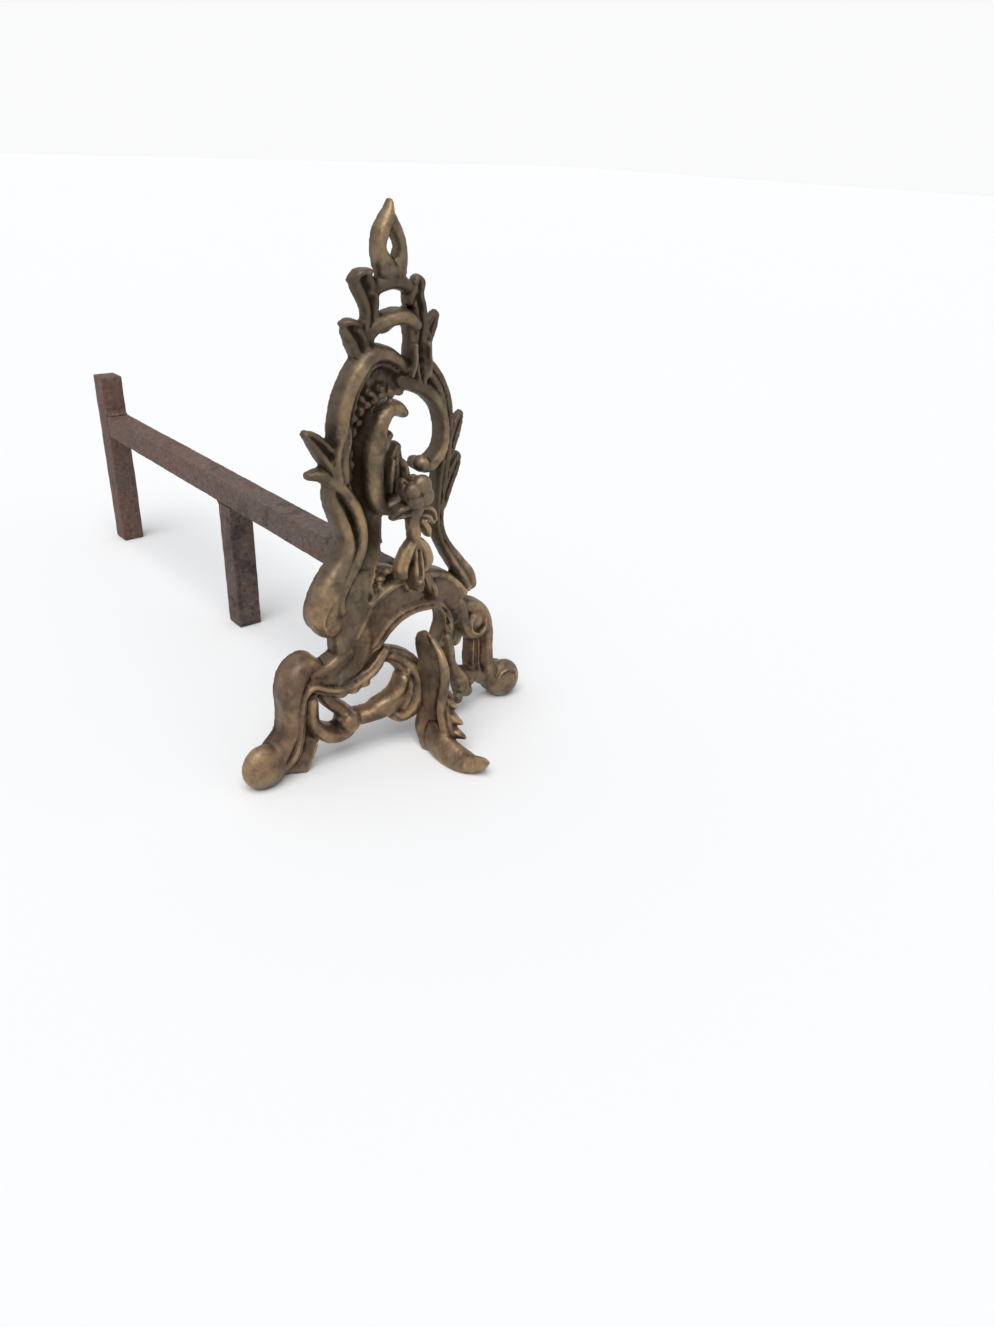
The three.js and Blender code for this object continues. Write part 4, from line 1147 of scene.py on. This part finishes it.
@dataclass
class FrontCasting:
    """The openwork front with the lug that carries the bar and the pad of the front leg.

    Sizes are in millimetres.
    """

    name: str = "cast_front"
    grain: float = 1.06
    lug_width: float = 19
    lug_length: float = 36
    lug_top: float = 104.7
    lug_thickness: float = 8
    bolt_hole: float = 3.4
    bolt_places: tuple[float, float] = (11, 25)
    leg_x: float = 11.5
    leg_slot: float = 4.8
    leg_seat: float = 23
    pad_back: float = 13
    pad_half: float = 11
    pad_bottom: float = 20
    pad_top: float = 56
    screw_heights: tuple[float, float] = (29, 47)
    screw_hole: float = 2.9
    screw_bore: float = 5.5
    drop_x: float = 8
    drop_seat: float = 16
    rivet_heights: tuple[float, float] = (112, 172)
    rivet_hole: float = 1.7
    rivet_head_hole: float = 3.4
    rivet_head_depth: float = 2.7
    ease: int = 5
    seed: int = 11
    # spaces in front of the casting that the leg and the flower need
    leg_slot_top: float = 90
    foot_top: float = 24
    foot_wider: float = 2
    leg_reach: float = 80
    drop_half: float = 16
    drop_bottom: float = 100
    drop_top: float = 215
    drop_reach: float = 60
    # solids reach this far into the casting, and tools this far out of it
    lug_bite: float = 3
    stem_bite: float = 1
    stem_radius: float = 4
    beyond: float = 5

    def solids(self) -> list[Surface]:
        """The casting's members before they are joined.

        Returns:
            The skins of every scroll, band, leaf, lump and boss, and of lug and pad.
        """
        rows = CREST + CROWN_AND_SIDES + BASE + TRIMS
        parts = [cast_member(points, moulding) for moulding, points in rows]
        parts += [knob(x, -front, z, rx, ry, rz) for x, front, z, rx, ry, rz in LUMPS + BOSSES]
        half_lug = self.lug_width / 2
        parts.append(block(
            [-half_lug, -self.lug_bite, self.lug_top - self.lug_thickness],
            [half_lug, self.lug_length, self.lug_top],
        ))
        parts.append(block(
            [self.leg_x - self.pad_half, -self.leg_seat, self.pad_bottom],
            [self.leg_x + self.pad_half, -self.pad_back, self.pad_top],
        ))
        stem = [(-self.drop_seat, self.stem_radius), (-self.stem_bite, self.stem_radius)]
        parts.append(turned("y", (self.drop_x, self.rivet_heights[0]), stem))
        return parts

    def stepped_hole(self, x: float, z: float, front: float, step: float, small: float,
                     large: float) -> Surface:
        """The space of a hole along Y that is wider from its step to the back.

        Args:
            x, z: Its middle.
            front: How far in front of the casting's back it starts.
            step: How far in front of that back it widens.
            small, large: Its radii.

        Returns:
            The closed skin.
        """
        stations = [
            (-front - self.beyond, small), (-step, small), (-step, large), (self.beyond, large),
        ]
        return turned("y", (x, z), stations)

    def tools(self) -> list[Surface]:
        """What is cut out of the joined casting.

        Returns:
            The spaces of the bolts, the leg, the leg's screws, the rivets and the flower.
        """
        low = self.lug_top - self.lug_thickness - self.beyond
        bolt = [(low, self.bolt_hole), (self.lug_top + self.beyond, self.bolt_hole)]
        tools = [turned("z", (0, y), bolt) for y in self.bolt_places]
        slots = (
            (self.leg_slot, self.leg_slot_top),
            (self.leg_slot + self.foot_wider, self.foot_top),
        )
        for half, top in slots:
            tools.append(block(
                [self.leg_x - half, -self.leg_reach, -2 * self.beyond],
                [self.leg_x + half, -self.leg_seat, top],
            ))
        for z in self.screw_heights:
            tools.append(self.stepped_hole(
                self.leg_x, z, self.leg_seat, self.pad_back, self.screw_hole, self.screw_bore,
            ))
        for z in self.rivet_heights:
            tools.append(self.stepped_hole(
                self.drop_x, z, self.drop_seat, self.rivet_head_depth, self.rivet_hole,
                self.rivet_head_hole,
            ))
        tools.append(block(
            [self.drop_x - self.drop_half, -self.drop_reach, self.drop_bottom],
            [self.drop_x + self.drop_half, -self.drop_seat, self.drop_top],
        ))
        return tools

    def build(self, material: bpy.types.Material) -> bpy.types.Object:
        """Casts the front in one piece.

        Args:
            material: Its finish.

        Returns:
            The dressed piece.
        """
        piece = make_object(self.name, Surface.joined(self.solids()))
        cast_together(piece, self.grain)
        cut_away(piece, self.tools())
        finish_casting(piece, self.ease, self.seed)
        dress(piece, material, ["front_casting"])
        return piece


# ---------------------------------------------------------------- front leg

# Level cuts from the top down: [z, back, front, left half width, right half width]
LEG_CUTS: list[Row] = [
    [83, 25, 31, 1.6, 1.6], [81, 21.5, 36, 2.4, 2.4], [78, 20, 40.5, 2.8, 2.8],
    [74.5, 19, 44.5, 3, 3], [70, 20, 48, 3.2, 3.2], [66, 22, 50, 3.5, 3.5], [62, 24, 51, 4, 4],
    [57, 23.3, 51.5, 4.5, 4.5], [50, 23.3, 51, 4.5, 4.5], [43, 23.3, 49, 4.5, 4.5],
    [34, 23.3, 48, 4.5, 4.5], [26, 23.3, 49, 4.5, 5], [20, 23.3, 51, 5, 5.5], [14, 25, 55, 7.5, 6],
    [8, 29, 60, 8.5, 6.5], [3, 33, 63, 9, 7], [0.3, 36, 64, 9, 7],
]

# Upright cuts through the toe: [distance, left, right, bottom, top] from the leg's middle
TOE_CUTS: list[Row] = [
    [33, -6.5, 5, 0.3, 20], [40, -8.5, 6, 0.3, 20.5], [48, -10, 7.2, 0.2, 18.5],
    [57, -10.8, 8.2, 0.2, 15], [67, -9.8, 9.5, 0.2, 12.4], [75, -7.5, 9.5, 0.6, 11.5],
    [81, -3.5, 9.5, 2, 12.5], [86, 0.5, 8, 5, 13.5],
]

# Notched leaves and toe ridges: [from the leg's middle, z, half width, depth, back]
LEG_LEAVES: list[Member] = [
    (LEAF, [[2.5, 40, 3.2, 8, 41], [5, 36, 3.5, 7, 43.5], [8, 33, 1.8, 4, 47]]),
    (LEAF, [[3, 30, 3.6, 8, 42], [5.5, 26, 4.2, 8, 46], [9, 23, 2, 5, 52]]),
    (LEAF, [[3, 19, 3.6, 8, 45], [5.5, 16, 4, 9, 49], [9.5, 13, 2, 6, 54]]),
    (ROLL, [[2, 46, 2.2, 7, 41], [4.6, 43.5, 2.2, 6, 43], [6.6, 41.5, 1.2, 4, 45]]),
    (SWELL, [[3, 44, 2.4, 6, 41], [4.6, 34, 3.8, 6.4, 43], [4.8, 24, 4, 6.6, 45.5],
             [5, 14, 3.6, 6.6, 49]]),
]


@dataclass
class FrontLeg:
    """The leaf-shaped front leg with its bead, notched leaves and toe. Millimetres."""

    name: str = "cast_leg"
    grain: float = 0.62
    middle: float = 11.5
    bead: float = 2.7
    seat: float = 23.3
    screw_heights: tuple[float, float] = (29, 47)
    screw_hole: float = 2.6
    screw_reach: float = 33.3
    ease: int = 12
    seed: int = 23
    slim: float = 3.0  # widest half of the hollow flanks
    free_height: float = 57  # above it the blade's back curls away from its seat
    free_back: float = 4.5
    tip_rise: float = 0.6
    heel: tuple[float, float, float] = (-1, -31.0, 8.0)
    tip: tuple[float, float, float] = (4.5, -91.0, 12.5)

    @staticmethod
    def closed_rings(rows: Sequence[np.ndarray], count: int) -> np.ndarray:
        """Smooths a few long lines into whole rings.

        Args:
            rows: (n, 3) places each, one line for each corner of the ring.
            count: Places round a ring.

        Returns:
            (n, count, 3) places.
        """
        coarse = np.stack(rows)
        flat = coarse.reshape(len(rows), -1)
        smooth = through(flat, count, closed=True)
        return smooth.reshape(count, coarse.shape[1], 3).transpose(1, 0, 2)

    def body(self) -> Surface:
        """The upright blade: level rings through listed cuts, smoothed both ways.

        Each ring runs from its back corners in hollow flanks to a raised bead with a
        quirk on each side. Place = (middle + across, -distance, height).

        Returns:
            The closed skin.
        """
        z, back, front, left, right = through(np.array(LEG_CUTS), 110).T
        slim = np.minimum(self.slim, np.minimum(left, right))
        bead = np.minimum(self.bead, 0.5 * (left + right) * 0.72)
        shoulder = back + 0.12 * (front - back)
        hollow = back + 0.45 * (front - back)
        neck, quirk, flank = (front - share * bead for share in (2.4, 1.7, 0.8))
        corners = [
            (-left, back), (-left, shoulder), (-slim * 0.8, hollow), (-0.35 * bead, neck),
            (-1.1 * bead, quirk), (-bead, flank), (-0.5 * bead, front), (0.5 * bead, front),
            (bead, flank), (1.1 * bead, quirk), (0.35 * bead, neck), (slim * 0.8, hollow),
            (right, shoulder), (right, back),
        ]
        lines = [np.stack([self.middle + across, -away, z], axis=1) for across, away in corners]
        rings = self.closed_rings(lines, 70)
        high, low = LEG_CUTS[0], LEG_CUTS[-1]
        top = np.array([self.middle, -(high[1] + high[2]) / 2, high[0] + self.tip_rise])
        sole = np.array([self.middle, -(low[1] + low[2]) / 2, low[0]])
        seat = -self.seat + self.free_back * (rings[..., 2] > self.free_height)
        rings[..., 1] = np.minimum(rings[..., 1], seat)
        return skin(rings, top, sole)

    def toe(self) -> Surface:
        """The toe: upright rings through listed cuts, smoothed both ways, with a tip.

        Returns:
            The closed skin.
        """
        front, left, right, bottom, top = through(np.array(TOE_CUTS), 40).T
        low = bottom + 0.3 * (top - bottom)
        high = bottom + 0.75 * (top - bottom)
        corners = [
            (0.06, bottom), (0.0, low), (0.22, high), (0.5, top), (0.8, high), (1.0, low),
            (0.94, bottom),
        ]
        lines = [
            np.stack([self.middle + left + share * (right - left), -front, z], axis=1)
            for share, z in corners
        ]
        ends = [np.array([self.middle + x, y, z]) for x, y, z in (self.heel, self.tip)]
        return skin(self.closed_rings(lines, 42), ends[0], ends[1])

    def build(self, material: bpy.types.Material) -> bpy.types.Object:
        """Casts the leg in one piece.

        Args:
            material: Its finish.

        Returns:
            The dressed piece.
        """
        leaves = [
            cast_member([[self.middle + x, *rest] for x, *rest in rows], moulding)
            for moulding, rows in LEG_LEAVES
        ]
        piece = make_object(self.name, Surface.joined([self.body(), self.toe(), *leaves]))
        cast_together(piece, self.grain)
        screw = [(-self.screw_reach, self.screw_hole), (0, self.screw_hole)]
        cut_away(piece, [turned("y", (self.middle, z), screw) for z in self.screw_heights])
        finish_casting(piece, self.ease, self.seed)
        dress(piece, material, ["front_leg"])
        return piece


# ---------------------------------------------------------------- flower

FLOWER: list[Member] = [
    (ROLL, [[8, 183, 4.5, 9], [8, 170, 6, 10], [7, 160, 4.5, 8], [7.5, 151, 4.2, 8],
            [8, 142, 4, 8]]),
    (LEAF, [[7, 146, 3, 8], [1, 137, 4.6, 9.5], [-2, 130, 4.8, 9.5], [-1, 124, 3, 8]]),
    (ROLL, [[9, 146, 3, 8], [14, 139, 4.6, 8.5], [16.5, 131, 5, 8.5], [15, 125, 3, 7]]),
    (CUPPED, [[8, 142, 3, 9], [8, 133, 4, 11], [8, 124, 4.6, 12], [8, 117, 3.6, 11.5]]),
    (ROLL, [[8, 118.5, 3.4, 12.5], [8, 114.5, 3.2, 12]]),
    (CUPPED, [[5, 166, 4, 8], [-2, 166, 4.5, 9], [-8, 163, 2, 6]]),
    (CUPPED, [[11, 164, 4, 8], [18, 162, 4.5, 9], [23, 156, 3, 6]]),
    (CUPPED, [[6, 170, 4, 7], [2, 178, 4.5, 9], [0, 184, 2.5, 6]]),
    (ROLL, [[12, 158, 2.4, 9], [16, 152, 2.6, 9], [18, 147, 1.6, 7]]),
]


@dataclass
class FlowerDrop:
    """The blossom with its stem and hanging petals. Millimetres."""

    name: str = "cast_flower"
    grain: float = 0.55
    middle: float = 8
    back: float = 16.3
    height: float = 177
    petals: int = 4
    ring: float = 5.0
    petal: float = 6.1
    petal_depth: float = 5.8
    proud: float = 7.2
    eye: tuple[float, float, float] = (3.2, 4.4, 3.2)
    eye_shift: tuple[float, float] = (0.6, 0.8)
    rivet_heights: tuple[float, float] = (112, 172)
    rivet_hole: float = 1.6
    rivet_reach: float = 5.5
    # the space behind its flat back, cut away
    behind_half: float = 60
    behind_bottom: float = 60
    behind_top: float = 260
    across_count: int = 25
    ease: int = 2
    seed: int = 37

    def blossom(self) -> list[Surface]:
        """Rounded petals in a ring round a small eye, each an egg of its own size.

        Returns:
            The skins of eye and petals.
        """
        y = -self.back - self.proud
        left, down = self.eye_shift
        parts = [knob(self.middle - left, y, self.height - down, *self.eye)]
        for turn in range(self.petals):
            angle = math.pi / 3 + turn * 2 * math.pi / self.petals
            x = self.middle + self.ring * math.cos(angle)
            z = self.height + self.ring * math.sin(angle)
            size = self.petal * (1 + 0.12 * math.cos(2.3 * turn))
            parts.append(knob(x, y, z, size, self.petal_depth, size))
        return parts

    def build(self, material: bpy.types.Material) -> bpy.types.Object:
        """Casts the flower in one piece with a flat back.

        Args:
            material: Its finish.

        Returns:
            The dressed piece.
        """
        parts = [
            cast_member([[*row, self.back] for row in rows], moulding, self.across_count)
            for moulding, rows in FLOWER
        ]
        piece = make_object(self.name, Surface.joined(parts + self.blossom()))
        cast_together(piece, self.grain)
        half = self.behind_half
        rivet = [(-self.back - self.rivet_reach, self.rivet_hole), (0, self.rivet_hole)]
        tools = [block([-half, -self.back, self.behind_bottom], [half, half, self.behind_top])]
        tools += [turned("y", (self.middle, z), rivet) for z in self.rivet_heights]
        cut_away(piece, tools)
        finish_casting(piece, self.ease, self.seed)
        dress(piece, material, ["flower_drop"])
        return piece


# ---------------------------------------------------------------- iron


class Run(Enum):
    """Which way a piece of square iron runs."""

    BACK = "back"
    UP = "up"


@dataclass
class IronFrame:
    """The log bar, its rear post, its short leg and their welds. Millimetres."""

    side: float = 20
    arris: float = 1.5
    bar_top: float = 125
    post_front: float = 443
    post_top: float = 160
    leg_front: float = 201
    weld_leg: float = 5
    weld_length: float = 18
    weld_drop: float = 2.6
    ring_step: float = 2
    mark_depth: float = 0.42
    mark_lengths: tuple[float, float] = (26, 8)
    end_dip: float = 0.2
    bar_seed: int = 51
    post_seed: int = 61
    leg_seed: int = 71

    def square(
        self, run: Run, start: float, end: float, across: tuple[float, float], seed: int
    ) -> Surface:
        """Hammered square iron with rounded edges.

        Points walk round a square and along its length. Each point p is drawn to the
        nearest point q of a box smaller by the arris, and set one arris from q towards
        p. Hammer marks then sink it a little.

        Args:
            run: Its direction.
            start, end: Its ends along that direction.
            across: The middle of its section, (x, z) where it runs back, (x, y) where up.
            seed: Seed of its unevenness.

        Returns:
            The closed skin.
        """
        half = self.side / 2
        side = np.linspace(-1, 1, 19)[:-1]
        one = np.ones_like(side)
        walk = half * np.concatenate([
            np.stack([side, -one], 1), np.stack([one, side], 1),
            np.stack([-side, one], 1), np.stack([-one, -side], 1),
        ])
        length = np.linspace(start, end, int((end - start) / self.ring_step) + 1)
        edge = np.linspace(0.08, 1, 8)[:-1]
        grow = np.r_[edge, np.ones(len(length)), edge[::-1]]
        along = np.r_[np.full(len(edge), start), length, np.full(len(edge), end)]
        depth = np.broadcast_to(along[:, None, None], (len(along), len(walk), 1))
        points = np.concatenate([walk[None] * grow[:, None, None], depth], axis=2)
        low = np.array([self.arris - half, self.arris - half, start + self.arris])
        high = np.array([half - self.arris, half - self.arris, end - self.arris])
        near = np.clip(points, low, high)
        away = points - near
        away /= np.maximum(np.linalg.norm(away, axis=2, keepdims=True), 1e-9)
        flat = points.reshape(-1, 3)
        broad, fine = self.mark_lengths
        marks = 0.5 + 0.28 * ripple(flat, broad, seed) + 0.18 * ripple(flat, fine, seed + 1)
        sunk = self.mark_depth * np.clip(marks, 0, 1).reshape(points.shape[:2])
        points = near + away * (self.arris - sunk)[..., None]
        points[..., :2] += across
        ends = [np.array([*across, at]) for at in (start + self.end_dip, end - self.end_dip)]
        if run is Run.BACK:
            points = points[..., SWAP_YZ]
            ends = [end_point[SWAP_YZ] for end_point in ends]
        return skin(points, ends[0], ends[1])

    def weld(self, y: float, z: float, dy: float, dz: float) -> Surface:
        """A rippled fillet weld across X with its corner at (y, z).

        Its section is a triangle whose long side bulges by a sine, and its size swells
        with |sin| along X where each drop set on the last.

        Args:
            y, z: The corner.
            dy, dz: Which way its legs run.

        Returns:
            The closed skin.
        """
        x = np.linspace(-self.weld_length / 2, self.weld_length / 2, 73)
        swell = 0.78 + 0.2 * np.abs(np.sin(math.pi * x / self.weld_drop)) ** 0.7
        swell *= np.clip((self.weld_length / 2 - np.abs(x)) / 1.6 + 0.35, 0, 1) ** 0.5
        t = np.linspace(0, 1, 15)
        sink = 1 - 0.42 * np.sin(math.pi * t)
        legs = np.stack([(1 - t) * sink, t * sink], axis=1)
        legs = np.concatenate([[[0.0, 0.0]], legs]) * self.weld_leg
        rings = np.stack([
            np.broadcast_to(x[:, None], (len(x), len(legs))),
            y + dy * legs[None, :, 0] * swell[:, None],
            z + dz * legs[None, :, 1] * swell[:, None],
        ], axis=-1)
        ends = [rings[0].mean(axis=0), rings[-1].mean(axis=0)]
        return skin(rings, ends[0], ends[1])

    def build(self, material: bpy.types.Material) -> list[bpy.types.Object]:
        """Forges the bar, the post and the leg and welds them.

        Args:
            material: Their finish.

        Returns:
            The dressed pieces.
        """
        half = self.side / 2
        under = self.bar_top - self.side - SEAT_GAP
        bar_end = self.post_front - SEAT_GAP
        bar, post, leg = (
            (0, middle)
            for middle in (self.bar_top - half, self.post_front + half, self.leg_front + half)
        )
        forged = {
            "billet_bar": self.square(Run.BACK, SEAT_GAP, bar_end, bar, self.bar_seed),
            "rear_post": self.square(Run.UP, 0, self.post_top, post, self.post_seed),
            "mid_leg": self.square(Run.UP, 0, under, leg, self.leg_seed),
            "post_weld_top": self.weld(bar_end, self.bar_top + SEAT_GAP, -1, 1),
            "post_weld_bottom": self.weld(bar_end, under, -1, -1),
            "leg_weld_front": self.weld(self.leg_front - SEAT_GAP, under, -1, -1),
            "leg_weld_rear": self.weld(self.leg_front + self.side + SEAT_GAP, under, 1, -1),
        }
        pieces = []
        for node, surface in forged.items():
            piece = make_object(f"iron_{node}", surface)
            piece.data.shade_smooth()
            dress(piece, material, [node])
            pieces.append(piece)
        return pieces


# ---------------------------------------------------------------- fasteners


@dataclass
class Fasteners:
    """The bolts, washers, screws and rivets, whose CAD shape is right as it is."""

    steel: tuple[str, ...] = (
        "bar_bolt_1", "bar_washer_1", "bar_bolt_2", "bar_washer_2", "leg_screw_1", "leg_screw_2",
    )
    brass: tuple[str, ...] = ("drop_rivet_1", "drop_rivet_2")

    def build(self, steel: bpy.types.Material, brass: bpy.types.Material) -> None:
        """Gives them their finishes.

        Args:
            steel: Finish of the bolts, washers and screws.
            brass: Finish of the rivets.
        """
        for names, material in ((self.steel, steel), (self.brass, brass)):
            for name in names:
                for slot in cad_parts[name].material_slots:
                    slot.material = material
                LOG.info("%s: kept from the CAD with a new finish", name)


# ---------------------------------------------------------------- studio


@dataclass
class Studio:
    """A pale floor, soft light and the camera. Metres and degrees, the lens in mm."""

    eye: tuple[float, float, float] = (-0.3301, -0.6702, 0.3698)
    heading: float = 41.82
    pitch: float = 28.36
    roll: float = 2.61
    focal_pixels: float = 973.8
    image_height: float = 1327
    sensor: float = 36
    near_clip: float = 0.01
    lamp_source: tuple[float, float, float] = (-0.35, -0.3, 1.0)
    lamp_spread: float = 50
    lamp_power: float = 1.95
    sky_lit: float = 0.48
    sky_tint: Colour = (0.95, 0.97, 1.0)
    sky_seen: Colour = (0.955, 0.958, 0.962)
    floor_half: float = 12.0
    floor_drop: float = 0.0002
    floor_darker: Colour = (0.95, 0.952, 0.952)
    floor_lighter: Colour = (0.96, 0.962, 0.962)

    def camera(self) -> None:
        """Sets the camera: it looks along its heading, down by its pitch, tilted by its roll."""
        turn, down, tilt = (math.radians(v) for v in (self.heading, self.pitch, self.roll))
        ahead = Vector(
            (math.sin(turn) * math.cos(down), math.cos(turn) * math.cos(down), -math.sin(down))
        )
        level = Vector((math.cos(turn), -math.sin(turn), 0))
        above = level.cross(ahead)
        right = level * math.cos(tilt) + above * math.sin(tilt)
        up = above * math.cos(tilt) - level * math.sin(tilt)
        data = bpy.data.cameras.new("camera")
        data.sensor_width = self.sensor
        data.lens = self.sensor * self.focal_pixels / self.image_height
        data.clip_start = self.near_clip
        eye = bpy.data.objects.new("camera", data)
        matrix = Matrix((right, up, -ahead)).transposed().to_4x4()
        matrix.translation = Vector(self.eye)
        eye.matrix_world = matrix
        bpy.context.scene.collection.objects.link(eye)
        bpy.context.scene.camera = eye

    def lamp(self) -> None:
        """Sets one wide soft lamp, far off overhead."""
        data = bpy.data.lights.new("overhead", "SUN")
        data.angle = math.radians(self.lamp_spread)
        data.energy = self.lamp_power
        lamp = bpy.data.objects.new("overhead", data)
        lamp.rotation_euler = (-Vector(self.lamp_source)).to_track_quat("-Z", "Y").to_euler()
        bpy.context.scene.collection.objects.link(lamp)

    @staticmethod
    def looked_at(tree: bpy.types.NodeTree) -> bpy.types.NodeSocket:
        """Tells rays that look from rays that light.

        Args:
            tree: The world's node tree.

        Returns:
            1 where the eye, a mirror or glass looks, 0 for the light that falls on things.
        """
        path = tree.nodes.new("ShaderNodeLightPath")
        total = path.outputs["Is Camera Ray"]
        for name in ("Is Glossy Ray", "Is Transmission Ray"):
            add = tree.nodes.new("ShaderNodeMath")
            add.operation = "MAXIMUM"
            tree.links.new(total, add.inputs[0])
            tree.links.new(path.outputs[name], add.inputs[1])
            total = add.outputs[0]
        return total

    def sky(self) -> None:
        """A white surround that lights the object more softly than it looks."""
        world = bpy.data.worlds.new("surround")
        world.use_nodes = True
        tree = world.node_tree
        tree.nodes.clear()
        lit = tree.nodes.new("ShaderNodeBackground")
        lit.inputs["Color"].default_value = (*self.sky_tint, 1)
        lit.inputs["Strength"].default_value = self.sky_lit
        seen = tree.nodes.new("ShaderNodeBackground")
        seen.inputs["Color"].default_value = (*self.sky_seen, 1)
        seen.inputs["Strength"].default_value = 1.0
        mix = tree.nodes.new("ShaderNodeMixShader")
        out = tree.nodes.new("ShaderNodeOutputWorld")
        tree.links.new(self.looked_at(tree), mix.inputs[0])
        tree.links.new(lit.outputs[0], mix.inputs[1])
        tree.links.new(seen.outputs[0], mix.inputs[2])
        tree.links.new(mix.outputs[0], out.inputs["Surface"])
        bpy.context.scene.world = world

    def floor(self) -> None:
        """A plain pale floor, a hair under the feet."""
        mesh = bpy.data.meshes.new("floor")
        corners = [
            (x * self.floor_half, y * self.floor_half, -self.floor_drop)
            for x, y in ((-1, -1), (1, -1), (1, 1), (-1, 1))
        ]
        mesh.from_pydata(corners, [], [(0, 1, 2, 3)])
        floor = bpy.data.objects.new("floor", mesh)
        bpy.context.scene.collection.objects.link(floor)
        recipe = Recipe("pale_floor")
        cloud = recipe.noise(900, 2.0, 0.5, 0.4)
        colour = recipe.mixed(cloud, self.floor_darker, self.floor_lighter)
        fine = recipe.noise(2.5, 2.0, 0.5, 1.4)
        recipe.shader.inputs["Specular IOR Level"].default_value = 0.2
        mesh.materials.append(recipe.finish(colour, 0.75, 0.0, fine, 0.02))

    def build(self) -> None:
        """Sets up camera, lamp, surround and floor."""
        bpy.context.scene.view_settings.view_transform = "Standard"
        self.camera()
        self.lamp()
        self.sky()
        self.floor()


# ---------------------------------------------------------------- assembly


def main() -> None:
    """Builds every class in order."""
    logging.basicConfig(level=logging.INFO, format="%(name)s %(message)s")
    Studio().build()
    brass = AgedBrass().material()
    iron = RustyIron().material()
    steel = OldSteel().material()
    rivet = AgedBrass(name="rivet_brass", relief=False).material()
    FrontCasting().build(brass)
    FrontLeg().build(brass)
    FlowerDrop().build(brass)
    IronFrame().build(iron)
    Fasteners().build(steel, rivet)


if __name__ == "__main__":
    main()
